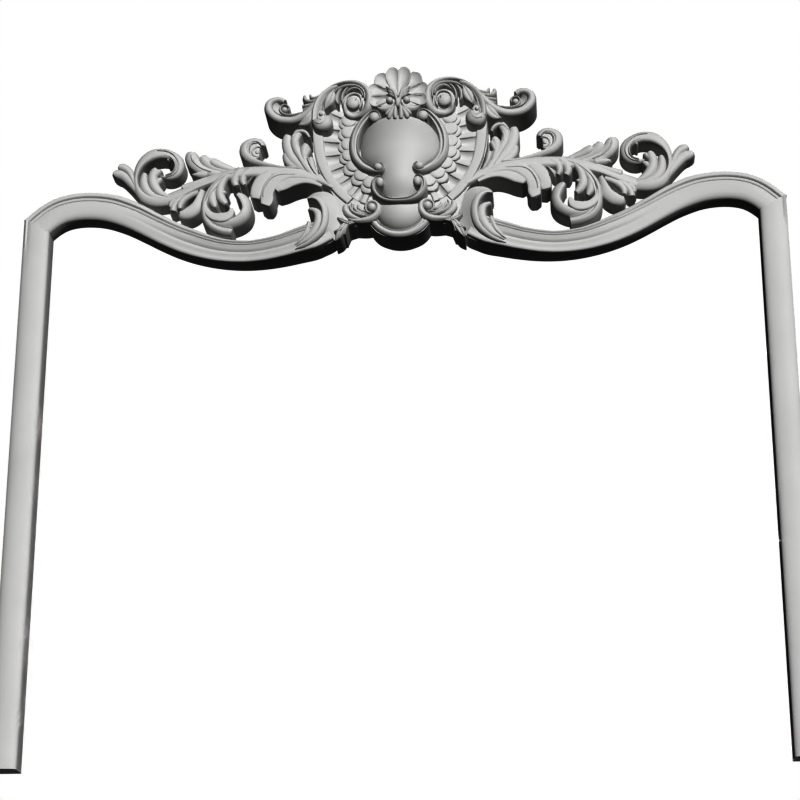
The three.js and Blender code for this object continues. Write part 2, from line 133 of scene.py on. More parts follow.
primerValues = {
    "grey": (0.455, 0.455, 0.452), "thin": (0.435, 0.434, 0.430),
    "thinTo": 0.3, "greyFrom": 0.7,  # where the cloud turns from thin to full primer
    "roughness": 0.62, "roughnessSpread": 0.06, "specular": 0.22,
    "cloudScale": 9.0, "cloudDetail": 5.0, "grainScale": 420.0, "grainDetail": 3.0,
    "grainStrength": 0.12, "grainDepth": 0.0004,
}


def makePrimer(v):
    primer = bpy.data.materials.new("primedWood")
    primer.use_nodes = True
    nodes, links = primer.node_tree.nodes, primer.node_tree.links
    shader = nodes["Principled BSDF"]
    shader.inputs["Specular IOR Level"].default_value = v["specular"]
    place = nodes.new("ShaderNodeTexCoord")
    cloud = nodes.new("ShaderNodeTexNoise")
    cloud.inputs["Scale"].default_value = v["cloudScale"]
    cloud.inputs["Detail"].default_value = v["cloudDetail"]
    grain = nodes.new("ShaderNodeTexNoise")
    grain.inputs["Scale"].default_value = v["grainScale"]
    grain.inputs["Detail"].default_value = v["grainDetail"]
    colours = nodes.new("ShaderNodeValToRGB")
    colours.color_ramp.elements[0].position = v["thinTo"]
    colours.color_ramp.elements[0].color = (*v["thin"], 1)
    colours.color_ramp.elements[1].position = v["greyFrom"]
    colours.color_ramp.elements[1].color = (*v["grey"], 1)
    rough = nodes.new("ShaderNodeMapRange")
    rough.inputs["To Min"].default_value = v["roughness"] - v["roughnessSpread"]
    rough.inputs["To Max"].default_value = v["roughness"] + v["roughnessSpread"]
    bump = nodes.new("ShaderNodeBump")
    bump.inputs["Strength"].default_value = v["grainStrength"]
    bump.inputs["Distance"].default_value = v["grainDepth"]
    links.new(place.outputs["Object"], cloud.inputs["Vector"])
    links.new(place.outputs["Object"], grain.inputs["Vector"])
    links.new(cloud.outputs["Fac"], colours.inputs["Fac"])
    links.new(colours.outputs["Color"], shader.inputs["Base Color"])
    links.new(grain.outputs["Fac"], rough.inputs["Value"])
    links.new(rough.outputs["Result"], shader.inputs["Roughness"])
    links.new(grain.outputs["Fac"], bump.inputs["Height"])
    links.new(bump.outputs["Normal"], shader.inputs["Normal"])
    return primer


primer = makePrimer(primerValues)
print("the primer is mixed")


# Carving tools

chiselValues = {
    "step": 2.9, "fineStep": 2.2, "finestStep": 2.0,  # along a stroke
    "cells": 12,  # across a stroke
    "outlineStep": 1.8, "plateStep": 4.0,  # round a cushion and a plate
    "perSpan": 14, "fewest": 4,  # samples between two stations, and the fewest steps of a line
    "thinnest": 0.35,  # half width of a stroke's end
    "tipFall": 0.9, "tipLeft": 0.1,  # share of its drop that a rounded tip falls, and that it keeps
    "poleShare": 0.02,  # the small flat on top of a ball
    "behind": 6.0,  # how far strokes run past the back before it is planed flat
    "sharp": 34.0,  # degrees: a crease between facets
}

# Sections across a stroke: u from -1 to 1, and the share of the height between edge (0) and crown (1).
sections = {
    "dome": lambda u: np.sqrt(np.clip(1 - u * u, 0, 1)),
    "swell": lambda u: 1 - u * u,
    "ridge": lambda u: 1 - np.abs(u),
    "flat": lambda u: np.interp(np.abs(u), [0, 0.72, 0.9, 1], [1, 0.95, 0.7, 0]),
    "lean": lambda u: np.where(u < 0.45, np.sqrt(np.clip(1 - ((u - 0.45) / 1.45) ** 2, 0, 1)),
                               np.sqrt(np.clip(1 - ((u - 0.45) / 0.55) ** 2, 0, 1))),
    "leanBack": lambda u: sections["lean"](-u),
    # the next two fall straight from one edge to the other
    "ramp": lambda u: (1 - u) / 2,
    "rampBack": lambda u: (1 + u) / 2,
    "blade": lambda u: np.interp(np.abs(u), [0, 0.1, 0.3, 0.6, 0.85, 1], [0.72, 0.84, 1, 0.92, 0.6, 0]),
    "dish": lambda u: np.interp(np.abs(u), [0, 0.3, 0.6, 0.85, 1], [0, 0.1, 0.42, 0.85, 1]),
    # outer quarter round, a groove, and a thin bead on the inner edge
    "frame": lambda u: np.interp(u, [-1, -0.97, -0.86, -0.76, -0.62, -0.45, -0.28, -0.12, 0.0, 0.1, 0.24,
                                     0.4, 0.56, 0.72, 0.86, 0.95, 1],
                                 [0.3, 0.74, 0.9, 0.76, 0.5, 0.38, 0.48, 0.78, 0.97, 1, 0.97, 0.88, 0.74,
                                  0.55, 0.34, 0.16, 0]),
}


# The ground that the carving grows from. It swells towards the middle and again under the shell and the
# arms, and it falls back at the foot.
swellValues = {
    "edge": 30, "middleRise": 24, "middleReach": 340,
    "headFrom": 165, "headOver": 50,  # where the shell and the arms begin, going up
    "shellRise": 20, "shellReach": 115, "armRise": 9, "armAt": 235, "armReach": 45,
    "footFall": 25, "footFrom": 25, "footOver": 65, "footReach": 260, "footFade": 100,
}


def ease(t):
    t = np.clip(t, 0, 1)
    return t * t * (3 - 2 * t)


def groundSwell(x, z):
    v = swellValues
    away = np.abs(x)
    head = ease((z - v["headFrom"]) / v["headOver"])
    middle = v["edge"] + v["middleRise"] * (1 + np.cos(np.pi * np.minimum(away / v["middleReach"], 1)))
    shell = v["shellRise"] * head * np.exp(-(x / v["shellReach"]) ** 2)
    arm = v["armRise"] * head * np.exp(-((away - v["armAt"]) / v["armReach"]) ** 2)
    fall = v["footFall"] * ease((v["footFrom"] - z) / v["footOver"])
    return middle + shell + arm - fall * ease((v["footReach"] - away) / v["footFade"])


# Some rows are given where the camera sees them against the ground: each slides along the sight line by
# what it stands proud. The frames, arms, shell, sprig, sprays and leaves are such rows. The rail, the
# cartouche, the pendant and the lower volutes, but for their sprays, stand where their numbers say.
def seen(rows):
    p = np.array(rows, float)
    rise = p[:, 3] - groundSwell(p[:, 0], p[:, 1])
    place = np.array(viewValues["place"]) / mm
    p[:, 0] += rise * (place[0] - p[:, 0]) / -place[1]
    p[:, 1] -= rise * (p[:, 1] - place[2]) / -place[1]
    return p


# A smooth line through stations (first two numbers are x and z), with the other numbers carried along.
def smoothLine(rows, step):
    p = np.array(rows, float)
    if len(p) == 2:
        p = np.vstack([p[0], p.mean(0), p[1]])
    p = np.vstack([2 * p[0] - p[1], p, 2 * p[-1] - p[-2]])
    gaps = np.sqrt(np.linalg.norm(np.diff(p[:, :2], axis=0), axis=1))
    knots = np.concatenate([[0], np.cumsum(np.maximum(gaps, 1e-6))])
    fine = []
    for i in range(1, len(p) - 2):
        t = np.linspace(knots[i], knots[i + 1], chiselValues["perSpan"], endpoint=i == len(p) - 3)[:, None]
        k0, k1, k2, k3 = knots[i - 1:i + 3]
        a1 = ((k1 - t) * p[i - 1] + (t - k0) * p[i]) / (k1 - k0)
        a2 = ((k2 - t) * p[i] + (t - k1) * p[i + 1]) / (k2 - k1)
        a3 = ((k3 - t) * p[i + 1] + (t - k2) * p[i + 2]) / (k3 - k2)
        b1 = ((k2 - t) * a1 + (t - k0) * a2) / (k2 - k0)
        b2 = ((k3 - t) * a2 + (t - k1) * a3) / (k3 - k1)
        fine.append(((k2 - t) * b1 + (t - k1) * b2) / (k2 - k1))
    fine = np.vstack(fine)
    run = np.concatenate([[0], np.cumsum(np.linalg.norm(np.diff(fine[:, :2], axis=0), axis=1))])
    count = max(chiselValues["fewest"], int(math.ceil(run[-1] / step)))
    s = np.linspace(0, run[-1], count + 1)
    return np.stack([np.interp(s, run, fine[:, k]) for k in range(fine.shape[1])], -1), s


def newObject(name, points, faces):
    mesh = bpy.data.meshes.new(name)
    mesh.from_pydata([tuple(p) for p in points], [], faces)
    made = bpy.data.objects.new(name, mesh)
    bpy.context.scene.collection.objects.link(made)
    form = bmesh.new()
    form.from_mesh(mesh)
    bmesh.ops.recalc_face_normals(form, faces=form.faces)
    form.to_mesh(mesh)
    form.free()
    return made


# Skins a row of closed rings, each an array of x, z and height, and closes both ends.
def skin(name, rings):
    rings = np.array(rings, float)
    rows, count = rings.shape[:2]
    flat = rings.reshape(-1, 3)
    points = np.stack([flat[:, 0], -flat[:, 2], flat[:, 1]], -1) * mm
    faces = []
    for r in range(rows - 1):
        for k in range(count):
            a, b = r * count + k, r * count + (k + 1) % count
            faces.append((a, b, b + count, a + count))
    faces.append(tuple(range(count - 1, -1, -1)))
    faces.append(tuple(range((rows - 1) * count, rows * count)))
    return newObject(name, points, faces)


# One stroke: rows of x, z, half width and crown height. drop is how far the edges lie below the crown, one
# number or several along the run, and tips are the lengths over which its two ends round off.
def stroke(rows, section, drop, tips=(0, 0), cells=None, step=None, foot=None):
    v = chiselValues
    line, run = smoothLine(rows, step or v["step"])
    place, half, crown = line[:, :2], np.maximum(line[:, 2], v["thinnest"]), line[:, 3]
    tangent = np.gradient(place, axis=0)
    tangent /= np.maximum(np.linalg.norm(tangent, axis=1, keepdims=True), 1e-9)
    side = np.stack([-tangent[:, 1], tangent[:, 0]], -1)
    drops = np.atleast_1d(drop)
    lows = np.interp(run / run[-1], np.linspace(0, 1, len(drops)), drops)
    for length, away in ((tips[0], run), (tips[1], run[-1] - run)):
        if length:
            share = np.clip(away / length, 0, 1)
            fullness = np.sqrt(np.clip(1 - (1 - share) ** 2, 0, 1))
            half = np.maximum(half * fullness, v["thinnest"])
            crown = crown - lows * (1 - fullness) * v["tipFall"]
            lows = lows * (v["tipLeft"] + v["tipFall"] * fullness)
    cells = cells or v["cells"]
    # crowded towards both edges
    across = np.sin(np.linspace(-0.5, 0.5, cells + 1) * np.pi) * 0.5 + np.linspace(-1, 1, cells + 1) * 0.5
    level = sections[section](across)
    foot = -v["behind"] if foot is None else foot
    rings = []
    for p, n, h, c, low in zip(place, side, half, crown, lows):
        xz = p + n * (across * h)[:, None]
        ring = np.column_stack([xz, c - low * (1 - level)])
        rings.append(np.vstack([[*xz[0], foot], ring, [*xz[-1], foot]]))
    return skin("stroke", rings)


# A round or oval boss: a dome, its top tilted by a slope in x and z, with straight walls to the back. full
# is 2 for a ball, and more for a flatter top with a tighter edge.
def ball(x, z, across, up, top, drop, slope=(0, 0), sides=28, rows=6, full=2.0):
    v = chiselValues
    angles = np.linspace(0, 2 * np.pi, sides, endpoint=False)
    ring = np.stack([np.cos(angles) * across, np.sin(angles) * up], -1)
    rings = []
    for share in [v["poleShare"]] + [math.sin(k / rows * math.pi / 2) for k in range(1, rows + 1)]:
        height = top - drop * (1 - (1 - share ** full) ** (1 / full)) if share < 1 else top - drop
        xz = ring * share
        rings.append(np.column_stack([xz + [x, z], height + xz @ np.array(slope)]))
    rings.append(np.column_stack([ring + [x, z], np.full(sides, -v["behind"])]))
    return skin("ball", rings)


def seenBall(x, z, across, up, top, drop, **more):
    x, z = seen([[x, z, 0, top - drop * 0.5]])[0, :2]
    return ball(x, z, across, up, top, drop, **more)


# A form with a drawn outline, seen at edge above top. It closes in on a focus by steps, each a share of
# the outline and a height above top.
def seenCushion(outline, focus, top, steps, edge=0.0):
    rows = seen([[x, z, 0, top + edge] for x, z in [*outline, focus]])[:, :2]
    focus = rows[-1]
    line, _ = smoothLine([*rows[:-1], rows[0]], chiselValues["outlineStep"])
    line = line[:-1]
    rings = [np.column_stack([line, np.full(len(line), -chiselValues["behind"])])]
    for share, height in steps:
        rings.append(np.column_stack([focus + (line - focus) * share, np.full(len(line), top + height)]))
    return skin("cushion", rings)


# A plate with straight sides, flat on top.
def straightPlate(outline, top):
    line = np.array(outline, float)
    rings = [np.column_stack([line, np.full(len(line), h)]) for h in (-chiselValues["behind"], top)]
    return skin("plate", rings)


# The same with a smooth outline through its points.
def plate(outline, top):
    line, _ = smoothLine([*outline, outline[0]], chiselValues["plateStep"])
    return straightPlate(line[:-1], top)


# Joins or cuts two closed forms.
def combine(one, other, how):
    tool = one.modifiers.new("join", "BOOLEAN")
    tool.operation = how
    tool.solver = "MANIFOLD"
    tool.object = other
    graph = bpy.context.evaluated_depsgraph_get()
    mesh = bpy.data.meshes.new_from_object(one.evaluated_get(graph))
    one.modifiers.clear()
    old, spare = one.data, other.data
    one.data = mesh
    bpy.data.meshes.remove(old)
    bpy.data.objects.remove(other)
    bpy.data.meshes.remove(spare)
    return one


def joinAll(forms):
    forms = list(forms)
    while len(forms) > 1:
        pairs = [forms[i:i + 2] for i in range(0, len(forms), 2)]
        forms = [combine(p[0], p[1], "UNION") if len(p) == 2 else p[0] for p in pairs]
    return forms[0]


def box(low, high):
    (x0, y0, z0), (x1, y1, z1) = low, high
    points = [(x, y, z) for x in (x0, x1) for y in (y0, y1) for z in (z0, z1)]
    faces = [(0, 1, 3, 2), (4, 6, 7, 5), (0, 4, 5, 1), (2, 3, 7, 6), (0, 2, 6, 4), (1, 5, 7, 3)]
    return newObject("cutter", np.array(points) * mm, faces)


print("the carving tools are laid out")


# Rail and stiles

railValues = {
    # the rail's inner edge: x and z, from the mitre in to the pendant
    "lower": [
        [652, -66], [625, -36], [600, -11.5], [588, -1], [575, 6.6], [560, 10.6], [545, 12.0],
        [530, 11.6], [515, 9.7], [500, 6.1], [470, -5.5], [440, -21.3], [410, -38.1], [380, -52.9],
        [350, -64.2], [320, -72.1], [290, -77.1], [260, -79], [230, -77.9], [200, -74.1],
        [170, -68.3], [140, -61.3], [112, -47],
    ],
    # distance from the middle and the width of the rail there
    "widthAt": [100, 140, 170, 200, 260, 310, 365, 440, 500, 541, 600, 650],
    "width": [44, 50, 47.4, 44.3, 42.5, 44.6, 50, 50, 53.5, 53, 52.5, 53],
    # inner wall height off the back
    "wallAt": [120, 150, 165, 180, 195, 210, 225, 240, 255, 285, 315, 400, 650],
    "wall": [47.5, 47, 45, 42.7, 41, 39.2, 37.2, 35.7, 34.2, 32.5, 31, 30, 29],
    # two sections from the opening outwards: share of the width, height over the wall
    "outer": [
        [0, 0], [0.03, 2.6], [0.07, 4.4], [0.12, 5.7], [0.2, 6.6], [0.3, 7.1], [0.42, 7.2], [0.52, 6.6],
        [0.605, 5.7], [0.615, 3.9], [0.64, 3.3], [0.662, 4.8], [0.69, 5.3], [0.73, 5.1], [0.745, 4.3],
        [0.757, -2.2], [0.775, -2.6], [0.825, 1.8], [0.85, 2.5], [0.9, 2.5], [0.93, 1.7], [0.96, 1.6],
        [1, -3],
    ],
    "inner": [
        [0, 0], [0.018, 2.2], [0.045, 3.2], [0.09, 3.7], [0.19, 3.4], [0.26, 3.9], [0.31, 4.5], [0.38, 4.1],
        [0.41, 3.5], [0.46, 5.3], [0.505, 6.4], [0.575, 7.3], [0.655, 8.3], [0.667, 8.3], [0.672, 6.1],
        [0.7, 8.2], [0.725, 8.8], [0.75, 8.4], [0.757, 6.4], [0.79, 8.2], [0.82, 9.0], [0.845, 8.6],
        [0.87, 6.5], [0.88, 0], [1, -4],
    ],
    "changeFrom": 330, "changeTo": 520,  # where the inner section turns into the outer one
}
stileValues = {
    "openingHalf": 600.0, "width": 45.0, "corner": -11.5, "foot": -933.5,
    "mitreRise": 27.0, "gap": 0.3,  # the mitre's rise over the width, and the joint line left open
    "blockReach": 250, "blockFrom": -40, "blockTo": 140,  # the block that cuts the mitre
    # from the opening outwards: how far out, and the height
    "section": [
        [0, 31], [0.5, 32], [2, 33.6], [4, 34.8], [7, 35.8], [11, 36.6], [16, 37.1], [21, 37.4],
        [26, 37.4], [31, 37], [35, 36.3], [38, 35.5], [41, 34.3], [43.5, 33], [45, 31.5],
    ],
    # the outer bead and the groove beside it, which fade down the stile
    "ridgeAt": 41.5, "ridgeRise": 1.6, "ridgeWide": 1.4, "ridgeLength": 60.0,
    "grooveAside": 4, "grooveDepth": 1.2, "grooveWide": 1.6,
    # rows of the mesh: few down the plain length and more near the corner
    "topOver": 2.2, "footEdge": 6, "plainRows": 12, "cornerLength": 100, "rowGap": 4, "cornerRows": 25,
}


def makeRail(v):
    line, _ = smoothLine(v["lower"], chiselValues["plateStep"])
    tangent = np.gradient(line, axis=0)
    tangent /= np.linalg.norm(tangent, axis=1, keepdims=True)
    outward = np.stack([tangent[:, 1], -tangent[:, 0]], -1)
    # both sections on one set of stations, so that one can turn into the other
    shares = np.unique([station[0] for station in v["outer"] + v["inner"]])
    outer = np.interp(shares, *np.array(v["outer"]).T)
    inner = np.interp(shares, *np.array(v["inner"]).T)
    rings = []
    for p, n in zip(line, outward):
        width = np.interp(p[0], v["widthAt"], v["width"])
        wall = np.interp(p[0], v["wallAt"], v["wall"])
        turned = ease((p[0] - v["changeFrom"]) / (v["changeTo"] - v["changeFrom"]))
        xz = p + n * (shares * width)[:, None]
        top = wall + (inner * (1 - turned) + outer * turned)
        foot = -chiselValues["behind"]
        rings.append(np.vstack([[*xz[0], foot], np.column_stack([xz, top]), [*xz[-1], foot]]))
    return skin("rail", rings)


# A block on one side of the mitre line, lying above or below it.
def mitreBlock(side, above, shift=0.0):
    v = stileValues
    along = np.array([v["width"], v["mitreRise"]]) / math.hypot(v["width"], v["mitreRise"])
    across = np.array([-along[1], along[0]]) * (1 if above else -1)
    corner = np.array([v["openingHalf"], v["corner"] + shift])
    near, far = corner - along * v["blockReach"], corner + along * v["blockReach"]
    outline = np.array([near, far, far + across * v["blockReach"], near + across * v["blockReach"]])
    outline[:, 0] *= side
    rings = [np.column_stack([outline, np.full(4, h)]) for h in (v["blockFrom"], v["blockTo"])]
    return skin("block", rings)


def makeStile(name, side):
    v = stileValues
    section = np.array(v["section"])
    top = v["corner"] + v["topOver"] * v["mitreRise"]
    split = top - v["cornerLength"]
    plainLevels = np.linspace(v["foot"] + v["footEdge"], split, v["plainRows"])
    cornerLevels = np.linspace(split + v["rowGap"], top, v["cornerRows"])
    beside = section[:, 0] - v["ridgeAt"]
    rings = []
    for z in [v["foot"], *plainLevels, *cornerLevels]:
        fade = np.clip(1 - (v["corner"] - z) / v["ridgeLength"], 0, 1)
        ridge = v["ridgeRise"] * fade * np.exp(-(beside / v["ridgeWide"]) ** 2)
        groove = v["grooveDepth"] * fade * np.exp(-((beside + v["grooveAside"]) / v["grooveWide"]) ** 2)
        x = (v["openingHalf"] + section[:, 0]) * side
        ring = np.column_stack([x, np.full(len(x), z), section[:, 1] + ridge - groove])
        rings.append(np.vstack([[x[0], z, 0], ring, [x[-1], z, 0]]))
    stile = skin(name, rings)
    stile.name = name
    return combine(stile, mitreBlock(side, True, -v["gap"]), "DIFFERENCE")


# Cartouche

cartoucheValues = {
    # the plate that everything here stands on
    "ground": [
        [-4, -24], [30, -24], [60, -24], [84, -20], [98, -8], [108, 25], [122, 48], [137, 78],
        [147, 112], [149, 150], [146, 180], [133, 204], [108, 222], [80, 226], [56, 214], [40, 205],
        [-4, 205],
    ],
    "groundTop": 50.0,
    "ring": [
        [139, 196, 9, 60], [140, 165, 9, 61], [139.5, 140, 9, 62], [137, 117, 8.8, 61.5],
        [133, 95, 8.5, 61], [123, 69, 8, 60], [111, 49, 8, 59], [97, 32, 8, 58], [84, 19, 7, 57],
    ],
    "ringDrop": 3.0,
    # ribs of the fan: outer end, inner end
    "ribs": [
        [[120, 192], [92, 176]], [[130, 163], [100, 155]], [[132, 137], [104, 132]],
        [[129, 108], [104, 109]], [[120, 79], [98, 86]], [[106, 53], [86, 65]], [[85, 30], [70, 48]],
        [[62, 14], [54, 34]],
    ],
    "ribTuck": 0.3,  # share of a rib's length that runs on under the scales
    # at the outer end, the middle and the inner end
    "ribHalf": [5.4, 4.7, 3.8], "ribTop": [57.5, 58.1, 58.7], "ribDrop": 2.8,
    "panelTop": [57.0, 55.8, 56.8], "panelDrop": 5.4, "panelInset": [3.4, 2.2],
    "innerScales": [[86, 166], [86, 144], [86, 121], [84.5, 101], [77, 81], [64, 63], [49, 49]],
    "outerScales": [[91, 163], [92, 141], [92, 118], [90, 97], [83, 75], [69.5, 56], [53, 41]],
    "innerScaleTop": 69.5, "outerScaleTop": 64.5,
    "scaleRadius": 13.0, "scaleDrop": 3.8, "scaleTilt": 0.1, "scaleFull": 3.2,
    "scaleBed": [[56, 172], [70, 178], [92, 176], [96, 158], [94, 146], [80, 138], [68, 152]],
    "scaleBedTop": 66,
    # right edge of the bulb, from the foot up
    "bulb": [
        [0, 10], [8, 10.6], [17, 13.5], [25, 20], [30, 29], [32, 40], [31.5, 52], [33, 62], [41, 72],
        [52, 82], [63, 94], [68.5, 107], [69.5, 120], [66, 133], [58, 143], [46, 150.5], [30, 155],
        [14, 156.6], [0, 157],
    ],
    "bulbCrown": 86.0,
    "bulbStep": 0.8, "bulbAcross": 41, "bulbUp": 44, "bulbEnds": 0.03, "bulbThinnest": 0.5,
    "bowShare": 0.78, "bowRound": 0.95,  # how far the sides of the bulb fall, and how round
    # the head leans forward and flattens from here up, and the foot falls away from here down
    "headFrom": 108, "headOver": 54, "headRise": 11, "headPower": 1.7, "headFlat": 0.5,
    "footBelow": 54, "footOver": 44, "footFall": 19,
}


def groundForms(v):
    yield plate(v["ground"], v["groundTop"])
    yield stroke(v["ring"], "flat", v["ringDrop"])


# Ribs and hollow panels in a fan between the ring and the scales.
def fluteForms(v):
    ribs = np.array(v["ribs"], float)
    ribs[:, 1] += (ribs[:, 1] - ribs[:, 0]) * v["ribTuck"]
    for outer, inner in ribs:
        places = [outer, (outer + inner) / 2, inner]
        rows = [[*place, half, top] for place, half, top in zip(places, v["ribHalf"], v["ribTop"])]
        yield stroke(rows, "flat", v["ribDrop"], cells=8)
    for above, below in zip(ribs[:-1], ribs[1:]):
        outer, inner = (above + below) / 2
        places = [outer, (outer + inner) / 2, inner]
        ends = np.linalg.norm(above - below, axis=1) / 2 - v["panelInset"]
        halves = [ends[0], ends.mean(), ends[1]]
        rows = [[*place, half, top] for place, half, top in zip(places, halves, v["panelTop"])]
        yield stroke(rows, "dish", v["panelDrop"])


# Two rows of overlapping scales round the bulb, each tucked under the one above it.
def scaleForms(v):
    yield plate(v["scaleBed"], v["scaleBedTop"])
    radius = v["scaleRadius"]
    for row, top in ((v["innerScales"], v["innerScaleTop"]), (v["outerScales"], v["outerScaleTop"])):
        row = np.array(row, float)
        down = np.gradient(row, axis=0)
        down /= np.linalg.norm(down, axis=1, keepdims=True)
        for (x, z), way in zip(row, down):
            yield ball(x, z, radius, radius, top, v["scaleDrop"], slope=tuple(way * v["scaleTilt"]),
                       sides=32, full=v["scaleFull"])


# The bulb: crowned across, round at the foot and leaning forward at the head.
def bulbForms(v):
    edge, _ = smoothLine(v["bulb"], v["bulbStep"])
    low, high = edge[0, 1], edge[-1, 1]
    across = np.sin(np.linspace(-0.5, 0.5, v["bulbAcross"]) * np.pi)
    sides = 1 - np.sqrt(1 - v["bowRound"] * across ** 2)
    back = -chiselValues["behind"]
    turns = np.linspace(v["bulbEnds"], 1 - v["bulbEnds"], v["bulbUp"]) * np.pi
    rings = []
    for z in (low + high) / 2 - (high - low) / 2 * np.cos(turns):
        half = max(np.interp(z, edge[:, 1], edge[:, 0]), v["bulbThinnest"])
        head = np.clip((z - v["headFrom"]) / v["headOver"], 0, 1)
        foot = np.clip((v["footBelow"] - z) / v["footOver"], 0, 1)
        bow = (v["bowShare"] - v["headFlat"] * head ** 2) * half * sides
        height = v["bulbCrown"] + v["headRise"] * head ** v["headPower"] - v["footFall"] * foot ** 2 - bow
        top = np.column_stack([across * half, np.full(len(across), z), height])
        rings.append(np.vstack([[-half, z, back], top, [half, z, back]]))
    yield skin("bulb", rings)


# The C frames round the bulb's head, and the U frame round its foot
frameValues = {
    "cFrame": [
        [34.5, 158, 1.6, 84], [31.4, 163, 2.2, 87], [32, 170.5, 2.8, 89], [38.5, 176.4, 3.3, 90],
        [47, 175, 4.6, 88], [56, 167.5, 6.2, 86], [64, 157.5, 7.2, 85], [70.5, 145, 7.8, 84],
        [75, 130, 8.0, 84], [76, 115, 8.0, 84], [74, 100, 8.0, 84], [68.5, 88, 8.0, 84],
        [60, 78, 7.8, 84], [50, 71, 7.2, 84.5], [41, 65.6, 5.4, 86], [33, 62.8, 3.4, 87.5],
        [26.6, 65, 2.6, 89], [24.2, 70.5, 2.2, 90], [26.4, 75.6, 1.8, 90], [31, 78.2, 1.2, 89],
    ],
    "uFrame": [
        [26.6, 50, 1.6, 86], [30.6, 53.6, 2.3, 88], [36.6, 52.4, 3.0, 89], [41, 45.4, 4.2, 89],
        [41.6, 35, 5.0, 88], [38.2, 25, 5.2, 87], [31, 16.8, 5.0, 86], [21, 11.8, 4.5, 85],
        [10, 9.8, 4.2, 84.5], [-6, 9.4, 4.2, 84],
    ],
    "cDrop": 9.5, "uDrop": 8.5,
    # the balls in the curled ends: centre, half width and half height
    "balls": [[40.6, 166.4, 9.2, 9.2], [33.4, 71, 7.8, 7.0], [30.8, 42.6, 7.2, 9.0]],
    "ballTop": 92.5, "ballDrop": 8,
}


def frameForms(v):
    step = chiselValues["fineStep"]
    yield stroke(seen(v["cFrame"]), "frame", v["cDrop"], cells=26, step=step)
    yield stroke(seen(v["uFrame"]), "frame", v["uDrop"], cells=24, step=step)
    for x, z, across, up in v["balls"]:
        yield seenBall(x, z, across, up, v["ballTop"], v["ballDrop"], sides=36, rows=10)


pendantValues = {
    "plate": [
        [-4, -50.4], [8, -50.0], [22, -46.8], [38, -38.6], [49, -25], [54, -8], [52, 8], [-4, 8],
    ],
    "rim": [[46, -15, 6.4, 58.5], [42.6, -22, 6.4, 59], [35.5, -30.8, 6.4, 59], [25, -38.2, 6.4, 59],
            [12, -43.2, 6.4, 59], [-6, -44.8, 6.4, 59]],
    "plateTop": 50, "rimDrop": 5.5,
    # centre, half width and half height
    "bowl": [0, 0, 40.0, 38.6],
    "bowlTop": 73, "bowlDrop": 24,
    # the flat ground between the pendant and the lower volutes
    "ledge": [[-3, -24.7], [96, -24.7], [96, 20], [-3, 20]], "ledgeTop": 47,
}


def pendantForms(v):
    yield plate(v["plate"], v["plateTop"])
    yield stroke(v["rim"], "frame", v["rimDrop"], cells=20)
    yield ball(*v["bowl"], v["bowlTop"], v["bowlDrop"], sides=64, rows=16)
    yield straightPlate(v["ledge"], v["ledgeTop"])


# The lower volutes beside the pendant

lowerVoluteValues = {
    # centre, half width and half height
    "eye": [47, 2.5, 8.0, 8.0],
    "eyeTop": 69, "eyeDrop": 9, "rollDrop": 5.5, "ridgeDrop": 4, "sprayDrop": 6,
    "roll": [
        [86, -16, 2.5, 60], [76, -19.5, 4, 62], [64, -20, 5.4, 64], [51, -18.5, 6.0, 66],
        [40.5, -12, 5.6, 67], [35.5, -1.5, 5.0, 68], [37.5, 8, 4.2, 68], [46, 12.8, 3.4, 67],
        [54.5, 9.5, 2.8, 66], [57.5, 2, 2.6, 65], [54, -5.5, 2.4, 64], [47, -8, 2, 64],
    ],
    "ridges": [
        [[47, -12, 1.2, 64], [58, -12.6, 2.4, 65], [70, -9, 3, 65], [79.5, -3, 3, 64.5], [83, 5, 2.4, 63.5],
         [81, 13, 1, 62]],
        [[54, -8.5, 1.4, 63], [64, -7.5, 3, 64], [72, -2.5, 3, 64], [76.6, 4, 2.4, 63], [77, 10, 1, 61.5]],
        [[56, -3, 1.6, 63], [63, -2.4, 3.4, 64], [68.6, 2, 3.4, 64], [70, 8, 2, 62.5]],
        [[66, -18, 2.6, 62.5], [78, -13, 4.4, 63], [87.5, -5, 5.4, 63], [91.5, 4, 5.4, 62.5],
         [89, 11, 3, 61.5]],
    ],
    "sprays": [
        [[76, -19, 3, 60], [90, -20.5, 5.4, 60.5], [97.6, -29, 6.6, 60], [103, -38.6, 5.6, 57],
         [108, -48, 0.8, 52]],
        [[88, -22, 3, 60], [93, -29, 4.6, 59], [92.4, -37, 2, 56]],
        [[84, -19.5, 3, 62], [95, -14.5, 4.4, 61.5], [105, -10, 1, 58]],
        [[95, -26, 3, 61], [103, -28.6, 3.4, 60], [110, -31, 1, 57]],
    ],
}


def lowerVoluteForms(v):
    step = chiselValues["finestStep"]
    yield stroke(v["roll"], "swell", v["rollDrop"], cells=14, step=step)
    yield ball(*v["eye"], v["eyeTop"], v["eyeDrop"], rows=7)
    for rows in v["ridges"]:
        yield stroke(rows, "swell", v["ridgeDrop"], cells=8, step=step)
    for rows in v["sprays"]:
        yield stroke(seen(rows), "blade", v["sprayDrop"])


# Upper volutes and arms

